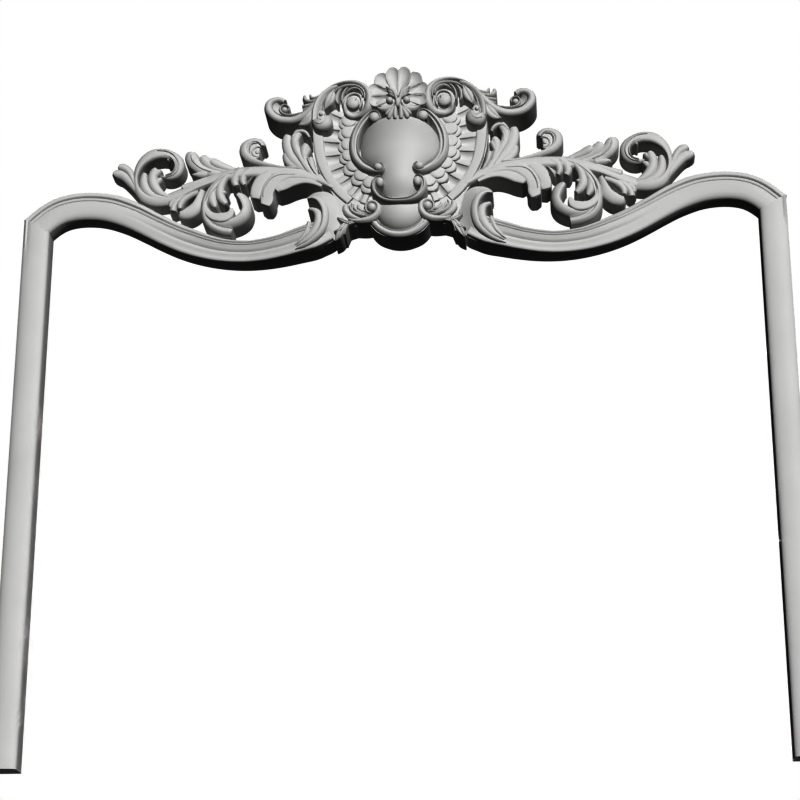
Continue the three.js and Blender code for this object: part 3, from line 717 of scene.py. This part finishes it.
armValues = {
    # outer roll of the volute, over the top, round the left and under, then in to the eye
    "roll": [
        [128, 223, 1.6, 80], [118, 228.5, 2.6, 84], [107, 232.6, 3.2, 87], [94, 234.2, 3.6, 89],
        [80, 232.4, 4.2, 91], [66, 226.5, 5.2, 92.5], [55.5, 216.5, 6.2, 93.5], [50, 205, 7.0, 94],
        [49.4, 193.5, 7.4, 94], [53, 183.4, 7.4, 91], [60.5, 176.4, 6.4, 85], [70, 172.8, 5.4, 80],
        [80, 173, 5.2, 79], [87.5, 178, 4.8, 81], [91, 187, 3.4, 86], [90.5, 197, 2.4, 85.5],
        [87, 204.5, 2.0, 86], [80, 208, 1.9, 87], [72, 207.2, 1.9, 88], [65.5, 202.6, 1.9, 89],
        [62.8, 196, 1.9, 90], [62.6, 189, 1.7, 90.5], [65.5, 183, 1.0, 90.5],
    ],
    # the eye: centre, half width and half height. The floor is the wider disc that it stands on.
    "eye": [76.8, 192.6, 11.2, 11.2], "eyeTop": 95, "eyeDrop": 6.5,
    "eyeFloor": [76.8, 192.6, 19.0, 19.0], "eyeFloorTop": 81, "eyeFloorDrop": 1.5, "eyeFloorTilt": (0, 0.1),
    # the spiral cut into the eye, and how high the cutter reaches over it
    "eyeNotchDrop": -5, "eyeNotchStep": 1.5, "eyeNotchTo": 130,
    "eyeNotch": [[75, 205.5, 1.2, 86], [71.4, 202, 1.6, 87], [70.6, 197.4, 1.6, 88.5], [72.2, 193, 0.8, 91]],
    "rollDrop": (10, 14, 13, 5.5, 5, 5), "ribDrop": 4.5,
    # ribs that pour from the arm over the top of the volute, and those that fall beside it
    "ribs": [
        [[112, 216, 1.4, 84], [105, 222.5, 2.4, 87], [95, 226.2, 2.8, 89], [82, 226, 2.9, 90.5],
         [70, 221.8, 2.7, 91.5], [61.5, 214, 2.4, 92], [57.6, 205, 2.0, 92.5], [57.2, 197, 1.2, 92]],
        [[90, 210, 1.0, 82], [86, 216, 2.2, 85], [78, 219.2, 2.6, 87.5], [69.5, 216.5, 2.5, 89],
         [63.5, 210, 2.2, 90], [60.6, 202, 1.2, 90]],
        [[82, 222.6, 1.2, 86], [90, 219.6, 2.3, 85], [95.6, 211, 2.4, 83], [97.2, 202, 2.3, 81],
         [96.2, 195.5, 1.2, 79]],
        [[92, 225, 1.2, 87], [100, 220, 2.6, 85], [105.3, 211, 3.5, 83], [106.2, 202, 3.4, 81],
         [103.6, 195, 1.4, 79]],
    ],
    # the drop leaf: a roll down from the arm that curls up in a knob
    "dropDrop": (8, 16, 18, 14),
    "drop": [
        [104, 229, 3.0, 85], [116, 225.5, 4.6, 85.5], [127, 218.5, 6.4, 85], [135.5, 208, 7.2, 84.5],
        [140, 196, 7.2, 84], [142, 184, 6.6, 84], [142, 172, 6.2, 84],
    ],
    "dropRibs": [
        [[104, 228, 1.4, 84], [115, 223, 2.0, 83], [124.5, 214, 2.2, 81], [131, 202, 2.2, 80],
         [134.6, 190, 2.2, 80.5], [137, 181, 2.0, 82], [135.5, 173.5, 2.0, 84], [129.5, 171.8, 1.9, 85],
         [125.2, 176, 1.6, 85], [125.8, 181, 1.0, 84]],
        [[124.5, 210, 1.0, 77], [129.6, 202, 1.8, 77], [131.8, 194, 2.0, 78], [132, 187, 1.8, 80]],
        [[127.4, 200, 0.9, 74], [128.6, 193.5, 1.5, 75], [128.2, 187, 1.5, 77]],
    ],
    # centre, half width and half height
    "dropEye": [131.8, 181.8, 3.6, 3.6], "dropEyeTop": 86, "dropEyeDrop": 5,
    "dropBed": [131, 180, 7, 9], "dropBedTop": 81, "dropBedDrop": 2,
    "knob": [[121, 179], [115.6, 175], [112.8, 168], [113, 160], [117, 153.4], [123, 150], [130, 149.2],
             [138, 151.4], [144, 157.4], [147, 165.6], [147, 174], [141, 169.6], [133, 165.8],
             [126, 168.6], [122.6, 173.6]],
    "knobFocus": (131.5, 165.5), "knobTop": 87.0, "knobEdge": -9, "knobLipDrop": 5,
    # share of the knob's outline, and height over its top
    "knobDome": [
        [1, -15], [0.98, -11], [0.93, -8], [0.85, -5.6], [0.72, -3.4], [0.56, -1.8], [0.38, -0.8],
        [0.2, -0.2], [0.04, 0],
    ],
    "knobLip": [[121.6, 179, 1.2, 84], [122.4, 172.4, 1.9, 86], [126.4, 167, 2.2, 87], [133, 165, 2.2, 87.5],
                [139.6, 168, 1.9, 87]],
    # the arm that runs out to the side and curls up
    "armDrop": 9, "armInsideDrop": 10, "armRibDrop": 4,
    "arm": [
        [128, 219, 2.6, 82], [137, 211.5, 4.4, 80], [146, 201.5, 5.8, 77], [156, 192, 6.8, 73.5],
        [168, 184.6, 7.4, 70], [181, 181.2, 7.2, 67.5], [194, 182, 7.2, 66], [207, 185.8, 7.4, 65],
        [218.5, 194, 7.6, 64.5], [225.4, 205, 7.4, 64], [223.6, 215.5, 6.6, 63.5],
        [214, 220.8, 5.6, 62.5], [204.4, 220, 5.4, 61.5], [198, 215.4, 4.8, 60.5],
    ],
    "armInside": [[188, 189.8, 1.6, 64], [199, 192.8, 3.6, 63.5], [207.6, 199, 6.0, 63],
                  [211.4, 206.6, 6.2, 62.5], [208.6, 212.4, 2.6, 61]],
    "armRib": [[160, 191.5, 1.2, 72], [172, 189.8, 2.0, 69], [185, 189.2, 2.2, 67.5],
               [196, 191.6, 2.3, 66.5], [203.4, 197, 2.2, 66], [205.2, 203.6, 2.0, 65.5],
               [200.6, 208.6, 1.9, 65], [193.6, 208, 1.8, 64.5], [189.6, 203, 1.7, 64],
               [190.4, 197.6, 1.4, 64]],
    "curlBall": [197.4, 199.4, 5.4, 5.4], "curlBallTop": 65, "curlBallDrop": 6,
    "almondDrop": 4.5, "flameDrop": 5,
    "almonds": [
        [[109.5, 223, 1.0, 84], [114, 213, 7.2, 85], [118.4, 204, 8.6, 84], [122.8, 196, 5.4, 81],
         [125.4, 189.5, 0.8, 78]],
        [[147.6, 193, 1.4, 73], [153, 182, 7.8, 73], [160, 174.4, 8.4, 70], [167.4, 170, 5.0, 66.5],
         [173, 168.4, 0.8, 64]],
    ],
    "flames": [
        [[136, 216, 2.8, 76], [144, 214.6, 3.2, 74], [150, 215.8, 3.2, 71.5], [152.6, 221.6, 1.8, 69]],
        [[140, 210.5, 2.6, 76], [149, 209.4, 3.2, 74], [157, 211.4, 3.8, 72], [161.8, 216, 4.0, 70],
         [162.4, 221.6, 2.4, 68]],
        [[142, 205.6, 2.6, 76], [151, 203.4, 3.2, 74], [159.6, 202.8, 3.6, 72.5], [165.6, 202.4, 2.8, 70.5]],
        [[146, 200, 2.4, 75], [155, 197.4, 2.8, 72.5], [165, 195.6, 2.8, 70]],
    ],
}


def upperArmForms(v):
    fine, finest = chiselValues["fineStep"], chiselValues["finestStep"]
    yield stroke(seen(v["arm"]), "dome", v["armDrop"], cells=16)
    yield stroke(seen(v["armInside"]), "ramp", v["armInsideDrop"], cells=10)
    yield stroke(seen(v["armRib"]), "swell", v["armRibDrop"], cells=8, step=fine)
    yield stroke(seen(v["roll"]), "dome", v["rollDrop"], cells=16, step=fine)
    yield stroke(seen(v["drop"]), "lean", v["dropDrop"], cells=14)
    for rows in v["ribs"] + v["dropRibs"]:
        yield stroke(seen(rows), "swell", v["ribDrop"], cells=8, step=fine)
    yield stroke(seen(v["knobLip"]), "swell", v["knobLipDrop"], cells=8, step=finest)
    yield seenBall(*v["curlBall"], v["curlBallTop"], v["curlBallDrop"], sides=24)
    yield seenBall(*v["dropEye"], v["dropEyeTop"], v["dropEyeDrop"], sides=24)
    yield seenBall(*v["dropBed"], v["dropBedTop"], v["dropBedDrop"])
    eye = seenBall(*v["eye"], v["eyeTop"], v["eyeDrop"], sides=40, rows=9)
    notch = stroke(seen(v["eyeNotch"]), "ridge", v["eyeNotchDrop"], cells=6, step=v["eyeNotchStep"],
                   foot=v["eyeNotchTo"])
    yield combine(eye, notch, "DIFFERENCE")
    yield seenBall(*v["eyeFloor"], v["eyeFloorTop"], v["eyeFloorDrop"], slope=v["eyeFloorTilt"], sides=40)
    yield seenCushion(v["knob"], v["knobFocus"], v["knobTop"], v["knobDome"], v["knobEdge"])
    for rows in v["almonds"]:
        yield stroke(seen(rows), "blade", v["almondDrop"], cells=14)
    for rows in v["flames"]:
        yield stroke(seen(rows), "swell", v["flameDrop"], cells=8)


# Shell and sprig

shellValues = {
    # each lobe from its foot round by its tip, in the order they overlap
    "lobes": [
        [[10, 192], [24, 198.6], [38, 200], [45.5, 199.4], [48.6, 193], [46.4, 186.6], [39, 182.4],
         [26, 185.6], [16, 189]],
        [[12, 200], [22, 209], [31, 214.6], [37, 218.6], [43, 219.8], [48.4, 217], [51.4, 210], [50, 203],
         [44, 198.4], [28, 197.4]],
        [[8, 203], [14.5, 216], [19.4, 228], [21, 235], [25.5, 238.6], [32.5, 238.6], [38, 235],
         [40.8, 227.6], [40, 219], [31, 212.8], [19, 207]],
        [[0, 196], [-4, 215], [-1.5, 237], [2, 244], [7, 248.2], [13, 248.2], [18.4, 244], [21.8, 236],
         [20.6, 226], [14, 210]],
    ],
    "lobeTops": [93.4, 93, 92.8, 93.6],
    # a lobe's dish: share of its outline and share of its depth. Its focus lies between foot and tip.
    "dish": [
        [1, -0.12], [0.985, 0], [0.95, 0.02], [0.9, -0.1], [0.8, -0.3], [0.68, -0.5], [0.54, -0.7],
        [0.38, -0.86], [0.2, -0.96], [0.04, -1],
    ],
    "dishDepth": 5.4, "focusFoot": 0.42, "focusTip": 0.58,
    # centre, half width and half height
    "bed": [17, 187, 20, 9.5], "bedTop": 91.5, "bedDrop": 2.5,
    "ball": [13.6, 191, 6.0, 6.0], "ballTop": 102, "bud": [0, 187.5, 3.8, 9.5], "budTop": 105, "ballDrop": 7,
    "crescentDrop": 5, "sprigDrop": 4.2, "sprigTip": 2.4, "sprigStep": 1.6,
    "crescent": [[5, 188, 1.4, 98], [10, 182.4, 4.0, 98], [19, 179.4, 5.4, 97], [28, 179.6, 4.4, 95],
                 [37, 182.4, 1.0, 93]],
    "sprig": [
        [[1.5, 186, 2.4, 100], [3, 196, 3.0, 101.5], [7, 204, 3.6, 101.5], [13.5, 208.6, 3.6, 100],
         [21, 212.4, 1.2, 98]],
        [[5, 198, 1.8, 100], [11.5, 203, 3.2, 99.5], [19, 206, 1.0, 97.5]],
        [[5, 195, 1.6, 99.5], [11, 199, 2.6, 99], [17, 201.5, 1.0, 97]],
        [[2, 186, 1.8, 101], [3.4, 177, 3.6, 101], [3.6, 168, 4.2, 99.5], [3, 160, 3.4, 97]],
        [[4, 182, 1.6, 100.5], [9.6, 174.6, 4.0, 100.5], [13.4, 167, 4.4, 98.5], [15, 160.5, 3.4, 96]],
        [[5, 182, 1.6, 100], [13, 176.6, 3.6, 99], [18.4, 171, 3.4, 97], [20, 167, 2.2, 95]],
    ],
}


def shellForms(v):
    dish = [[share, depth * v["dishDepth"]] for share, depth in v["dish"]]
    for outline, top in zip(v["lobes"], v["lobeTops"]):
        shape = np.array(outline, float)
        focus = shape[0] * v["focusFoot"] + shape[len(shape) // 2] * v["focusTip"]
        yield seenCushion(outline, focus, top, dish)


def sprigForms(v):
    yield seenBall(*v["bed"], v["bedTop"], v["bedDrop"])
    yield seenBall(*v["ball"], v["ballTop"], v["ballDrop"], rows=8)
    yield seenBall(*v["bud"], v["budTop"], v["ballDrop"], rows=7)
    yield stroke(seen(v["crescent"]), "swell", v["crescentDrop"], cells=10, step=chiselValues["finestStep"])
    for rows in v["sprig"]:
        yield stroke(seen(rows), "swell", v["sprigDrop"], (0, v["sprigTip"]), cells=8, step=v["sprigStep"])


# The leaves. Each entry is a stroke's rows, its section, how far its edges drop, and how long its tips are.

# The tall leaf beside the cartouche
standingLeafRows = [
    ([[160, 78, 4, 50], [178, 91, 8, 49.5], [190, 104, 9, 49], [195, 116, 7, 48.5], [197, 121, 4, 48]],
     "dome", 6, (0, 4)),
    ([[138, 58, 3, 53], [155, 76, 6, 52], [172, 94, 9, 51.5], [185, 112, 10, 51], [192, 131, 10, 50.5],
      [194, 145, 8.5, 50], [192, 155, 6, 49.5]], "dome", 6, (0, 4)),
    ([[142, 60, 3, 55], [157, 84, 5.4, 54.5], [169, 106, 7, 54], [178, 126, 7.5, 54], [180, 142, 8, 54],
      [175, 154, 8, 54], [170, 159, 6, 54]], "dome", 6.5, (0, 4)),
    ([[184, 147, 4, 54], [177, 156, 4.5, 55.5], [166, 156, 4.8, 56], [158.6, 149, 4.2, 56],
      [154.5, 139, 3, 53]], "dome", 10, (0, 3)),
    ([[146, 62, 2, 54], [159, 83, 3.4, 54], [169.6, 104, 4.2, 54], [176.5, 122, 4.4, 54],
      [177.6, 136, 3.6, 54], [173, 145, 1.6, 53]], "dome", 4.5, (0, 3)),
    ([[147, 66, 2, 53], [156, 84, 4, 53.5], [162.5, 102, 6.8, 54.5], [164, 118, 8.8, 55.5],
      [161, 128, 8, 55.5], [158, 132.5, 5, 55]], "dome", 10, (0, 4)),
    ([[162, 108, 5, 55], [158.6, 118, 6.4, 55], [154.4, 124.6, 4.6, 54.5]], "dome", 9, (0, 3)),
    ([[132, 50, 2, 55], [142, 70, 4, 55], [149.6, 87, 5.6, 55.5], [152, 99, 5.8, 55.5], [152.6, 106, 4, 55]],
     "dome", 8, (0, 3)),
    ([[132, 54, 1.2, 55], [146, 76, 1.8, 56], [154, 93, 2.0, 56.5], [158.4, 106, 1.4, 56.5]],
     "swell", 4, (0, 2)),
]

# The stem that runs out over the rail, with the loop and tail at its end
sideScrollRows = [
    # the stem
    ([[112, 42, 6, 60], [130, 57, 9, 58], [150, 69, 10, 56], [180, 80, 11, 53.5], [215, 87, 12, 52],
      [250, 92, 13, 51], [285, 92, 14, 49], [318, 85, 13, 46], [345, 75, 12, 44], [372, 62, 12, 41],
      [400, 49, 12, 38]], "leanBack", (10, 10, 12, 18, 20, 15), (0, 0)),
    # the loop
    ([[396, 48, 11, 38], [420, 45.5, 10, 38], [438, 51, 9, 38], [450, 64, 7, 38], [455.5, 80, 5, 38],
      [455.5, 96, 5, 38.5], [451, 112, 7, 39.5], [441, 126, 9.5, 40.5], [427, 135, 11, 41],
      [410, 136.5, 10.5, 41], [395, 131.5, 9.5, 41], [384, 123, 9, 40.5], [380, 111, 8, 40],
      [383, 99, 7, 39], [391, 91.5, 5.5, 38.5], [402, 88.5, 4, 38], [413, 91, 2.5, 37]],
     "lean", 9, (0, 0)),
    ([[420, 141, 1, 41.5], [402, 139, 2, 42.5], [388.5, 129.5, 2.2, 42.5], [381.5, 115, 2.2, 42],
      [383.5, 102, 2, 41], [391, 93.5, 1.8, 40.5], [404, 89.5, 1.4, 40]], "swell", 5, (0, 0)),
    ([[408, 132, 1, 41.5], [396, 127.5, 2, 42], [388.5, 117, 2, 42], [388, 106, 1.8, 41.5],
      [393, 98, 1.6, 40.5], [404, 93, 1.2, 40]], "swell", 5, (0, 0)),
    ([[401, 138, 5, 41], [399.4, 128, 5, 40], [402, 118, 2, 37]], "dome", 8, (0, 4)),
    # the leaf inside the loop
    ([[404, 50, 4, 38], [424, 55, 8, 38.5], [437, 68, 9, 38.5], [442, 84, 8, 38], [441, 96, 6, 37.5],
      [439, 101, 3, 37]], "dome", 8, (0, 3)),
    ([[398, 52, 4, 38.5], [412, 60, 8, 39.5], [423, 74, 9.5, 40], [427, 90, 9, 40], [423, 103, 8.5, 39.5],
      [419, 109, 5, 39]], "dome", 9, (0, 4)),
    ([[424, 76, 6, 38], [415, 85, 6, 37.5], [408, 87, 2.4, 36]], "dome", 8, (0, 3)),
    ([[426, 92, 6, 38.5], [417, 101, 6, 38], [411, 104, 3, 37]], "dome", 8, (0, 3)),
    ([[412, 58, 5, 38], [414, 66, 5, 37], [416, 73, 2, 35]], "dome", 8, (0, 3)),
    # the tail
    ([[446, 56, 6, 36], [464, 82, 9, 35.5], [478, 96, 9.5, 34.5], [490, 100, 8.5, 33.5],
      [498, 98.5, 4, 32.5]], "dome", 8, (0, 3)),
    ([[450, 62, 5, 36.5], [461, 88, 5.5, 36.5], [469, 104, 7, 36], [479, 112, 8, 35.5], [489, 113, 5, 34.5]],
     "dome", 8, (0, 3)),
    # leaves above the stem
    ([[330, 84, 6, 43], [348, 77, 7, 42.5], [364, 71, 7.5, 41.5], [376, 67.5, 7.5, 41]], "dome", 8, (0, 2)),
    ([[330, 92, 7, 45], [346, 93, 6.5, 44], [359, 92, 2, 41.5]], "dome", 9, (0, 4)),
    ([[284, 97, 5, 38], [306, 107, 7.5, 42], [321, 116, 8, 45], [328, 120, 5.5, 44.5]], "dome", 7, (0, 4)),
    ([[298, 97, 7, 38], [323, 108, 9, 42], [337, 121, 9.6, 45], [342, 129.6, 6, 44.5]], "dome", 7, (0, 4)),
    ([[308, 94, 8, 38], [340, 104, 11, 42], [356, 119, 12.4, 45], [360, 131, 11, 44.5], [360, 139, 7, 44]],
     "dome", 8, (0, 5)),
    ([[325, 97, 2, 42], [345, 107, 2.6, 44.4], [357, 121, 2.4, 47], [360, 133, 1.4, 46]], "swell", 4, (0, 2)),
]

# The small curl above the stem
topCurlRows = [
    ([[172, 86, 2.5, 52], [195, 90, 3.4, 50.5], [220, 98, 4.4, 49], [243, 107.6, 5.4, 48],
      [260, 118, 7, 47.5], [268.6, 131, 7.6, 47.5], [267, 144, 7.2, 47.5], [256, 151, 5.6, 47],
      [244, 149.6, 5.2, 46.5], [236.6, 141.6, 5, 45.5], [235.4, 135, 3.6, 44.5]], "lean", 9, (0, 1)),
    ([[246, 145, 1.5, 45], [255, 146, 2.4, 46], [261.6, 138, 2.6, 46], [261, 127, 2.6, 46],
      [253, 116, 2.4, 46], [241, 108, 2, 46]], "swell", 3, (0, 0)),
    ([[238.6, 134, 1.4, 43], [244, 137, 2.2, 44.5], [251, 134.4, 2.4, 44.5], [254, 127, 2.2, 44.5],
      [249, 119.4, 2.2, 44], [241, 116.6, 1.4, 43]], "swell", 5, (0, 0)),
    ([[246, 132, 4.6, 44.6], [245.4, 122.4, 4.6, 44.6]], "dome", 7, (4, 4)),
    ([[249, 150, 9, 42], [250, 126, 9, 42], [248, 114, 6, 42]], "flat", 3, (0, 0)),
]

# The leaves and the middle curl under the stem
hangingRows = [
    # the first leaf, with its lobes to either side
    ([[222, 84, 7, 53], [236, 72, 10.5, 53], [243.6, 58, 10.5, 52], [245, 45, 10.5, 50.5], [247, 36, 7, 49]],
     "flat", 6, (0, 4)),
    ([[236, 82, 5, 52.5], [244, 73, 6, 51.5], [249.5, 63, 4, 50]], "dome", 8, (0, 3)),
    ([[132, 46, 3, 57], [150, 57, 5, 57], [166, 62, 7, 56.5], [182, 61.6, 9, 56], [197, 58, 10.5, 55],
      [208, 55, 10, 54.5], [214, 50, 8, 53.5]], "flat", 6, (0, 3)),
    ([[140, 58, 3, 57], [166, 72, 7, 57], [190, 77, 9.6, 56.5], [210, 71, 11.6, 56],
      [221, 58.6, 11.6, 55], [225.4, 45, 11.6, 53.5], [226, 33, 11.6, 52], [229, 24, 8, 51.5],
      [230, 21.6, 4, 51]], "flat", 5, (0, 3)),
    ([[178, 75, 1.2, 57.4], [206, 78, 1.8, 57.4], [219, 72.6, 2.2, 57.2], [227.4, 61, 2.2, 56.8],
      [231.4, 49, 2, 55.6], [231.6, 38, 1.6, 54]], "swell", 4, (0, 3)),
    # three lobes under the stem
    ([[238, 93, 6, 51], [252, 87, 6.5, 50], [259, 76, 5, 47.5], [261, 66, 2, 45.5]], "ramp", 12, (0, 3)),
    ([[256, 95, 7, 51], [267, 87, 7.5, 50.5], [269, 75, 6.5, 49], [264.6, 64, 3.4, 47]], "dome", 8, (0, 3)),
    ([[271, 97, 9, 50.5], [280.6, 87, 9, 50], [283, 75, 7.5, 48.5], [279, 64, 5, 47]], "dome", 8, (0, 3)),
    # the C of the middle curl
    ([[282, 92.6, 3, 49], [300, 86, 5.4, 49.5], [316, 73, 6.4, 49.5], [327, 58, 6.6, 49],
      [332.6, 42, 6.6, 48.5], [333.5, 25, 7, 48], [329.5, 8, 7.8, 47], [319, -5, 8.4, 46.5],
      [303, -13.5, 8.4, 45.5], [285, -18, 8, 44.5]], "frame", 8, (0, 0)),
    # leaves inside it
    ([[300, 89, 5, 49], [313, 76, 7.4, 48.5], [320.6, 61, 8.4, 47.5], [321.4, 46, 8.6, 46.5],
      [317, 33, 6, 45], [313.6, 26, 2, 44]], "dome", 8, (0, 3)),
    ([[292, 91, 5, 49], [303, 78, 7, 49], [308, 63, 8.4, 48.5], [306.4, 49, 8.4, 47.5],
      [299.4, 37.6, 6.6, 46.5], [294, 32, 3.6, 45.5]], "dome", 8, (0, 3)),
    ([[307, 56, 5, 47.5], [300, 56, 4.6, 46.5], [295.4, 57, 2.4, 45.5]], "dome", 8, (0, 2)),
    # the broad crescent at its foot and the hook round it
    ([[332, 16, 4, 44], [315, 0, 7, 44.5], [296, -3, 8.5, 45.5], [279, 1, 9.5, 47], [266, 11, 10, 48.5],
      [261.8, 24, 9.4, 49], [265, 38, 10, 49.5], [271.6, 48, 8.6, 49.5], [279, 53, 5.6, 48]],
     "leanBack", 15, (0, 3)),
    ([[335, 44, 3, 46.5], [330.6, 25, 5.6, 47.5], [319, 12.6, 7.4, 48], [303, 9, 9, 49], [290.6, 12.4, 8, 49],
      [286.6, 20, 5, 49], [288, 26, 2.4, 48]], "flat", 6, (0, 2)),
    # the small leaf by the stem
    ([[366, 53, 5, 42], [381, 44.6, 7.4, 42], [387.6, 34, 7.4, 41], [389, 22, 6, 40]], "dome", 9, (0, 3)),
    ([[380, 47, 4, 41], [391, 41, 6, 41], [393.6, 29, 3.4, 39]], "dome", 8, (0, 3)),
    ([[338, 63, 5, 44], [343.6, 46, 8, 44], [349, 32, 11, 43.5], [359, 23, 11.6, 43], [370, 18.4, 9.4, 42.5],
      [379, 18, 6, 41.5]], "lean", 9, (0, 3)),
    ([[345, 60, 5, 45], [360, 53.6, 6, 44.5], [371.6, 45, 6.6, 44], [377, 34, 6, 43.5], [375, 26, 4, 42.5]],
     "dome", 8, (0, 2)),
]

# The leaf that wraps the inner end of the rail
railLeafRows = [
    ([[156, 27, 4, 59], [143, 32.6, 7.4, 61], [126, 29, 11, 62.5], [115.4, 13, 14, 63], [111, -7, 15, 62],
      [116, -25, 14, 60], [129, -36, 11, 56.5], [148, -44, 8, 53], [168, -51, 3, 49.5]],
     "rampBack", (9, 15, 19, 15, 8), (3, 0)),
    ([[156, 27, 3, 60.5], [146, 28, 4.8, 62.5], [135.6, 22, 6.4, 64], [127, 8.6, 6.8, 64.5],
      [124.6, -7, 6.8, 64], [129.6, -23, 6.2, 62], [142, -36.4, 5, 59], [160, -48, 3.6, 54.6],
      [176, -55, 0.8, 49.5]], "lean", 9, (0, 0)),
    ([[155, 8.6, 3.4, 58], [146, 7, 5, 59.5], [138.6, 1.6, 7, 60.5], [137, -10, 7.6, 60],
      [143, -22.4, 7.6, 58], [154, -34, 6.4, 55], [174, -49, 1, 50]], "dome", 7, (1, 0)),
    ([[152, -8.6, 3.4, 57.5], [153.6, -16, 4.6, 57.5], [158.6, -27, 4.6, 55.5], [168, -38, 3.6, 53],
      [177, -47, 1, 50]], "dome", 7, (2, 0)),
]


def leafForms(table):
    for rows, section, drop, tips in table:
        yield stroke(seen(rows), section, drop, tips)


# The right half is carved whole, its back is planed flat, and it is mirrored to the left.

crestValues = {
    "behindTheBack": ((-700, 0, -200), (700, 60, 400)),  # two opposite corners of each block cut away
    "leftOfMiddle": ((-300, -200, -200), (0, 60, 400)),
    "weldReach": 0.000005,  # metres
}


# The flat faces that the cut leaves in the mirror plane are taken out, and the two halves are welded there.
def mirrorWhole(half):
    reach = crestValues["weldReach"]
    work = bmesh.new()
    work.from_mesh(half.data)
    bmesh.ops.remove_doubles(work, verts=work.verts[:], dist=reach)
    bmesh.ops.dissolve_degenerate(work, edges=work.edges[:], dist=reach)
    middle = [face for face in work.faces if max(abs(corner.co.x) for corner in face.verts) < reach]
    bmesh.ops.delete(work, geom=middle, context="FACES")
    everything = work.verts[:] + work.edges[:] + work.faces[:]
    bmesh.ops.mirror(work, geom=everything, axis="X", merge_dist=reach)
    bmesh.ops.recalc_face_normals(work, faces=work.faces[:])
    work.to_mesh(half.data)
    work.free()
    return half


def makeCrest():
    forms = [combine(makeRail(railValues), mitreBlock(1, False), "DIFFERENCE")]
    for group in (
        groundForms(cartoucheValues), fluteForms(cartoucheValues), scaleForms(cartoucheValues),
        bulbForms(cartoucheValues), frameForms(frameValues), pendantForms(pendantValues),
        lowerVoluteForms(lowerVoluteValues), upperArmForms(armValues), shellForms(shellValues),
        sprigForms(shellValues), leafForms(standingLeafRows), leafForms(sideScrollRows),
        leafForms(topCurlRows), leafForms(hangingRows), leafForms(railLeafRows),
    ):
        forms.extend(group)
    print(len(forms), "forms are cut")
    half = joinAll(forms)
    for corners in (crestValues["behindTheBack"], crestValues["leftOfMiddle"]):
        half = combine(half, box(*corners), "DIFFERENCE")
    half.name = "carved_crest_rail"
    return mirrorWhole(half)


def finishPiece(piece, node):
    mesh = piece.data
    mesh.materials.clear()
    mesh.materials.append(primer)
    for face in mesh.polygons:
        face.use_smooth = True
    mesh.set_sharp_from_angle(angle=math.radians(chiselValues["sharp"]))
    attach(piece, "root")
    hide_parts(node)
    triangles = sum(len(face.vertices) - 2 for face in mesh.polygons)
    print(piece.name, triangles, "triangles")


finishPiece(makeCrest(), "crest_rail")
finishPiece(makeStile("moulded_left_stile", -1), "left_stile")
finishPiece(makeStile("moulded_right_stile", 1), "right_stile")
print("the crest and both stiles are carved")
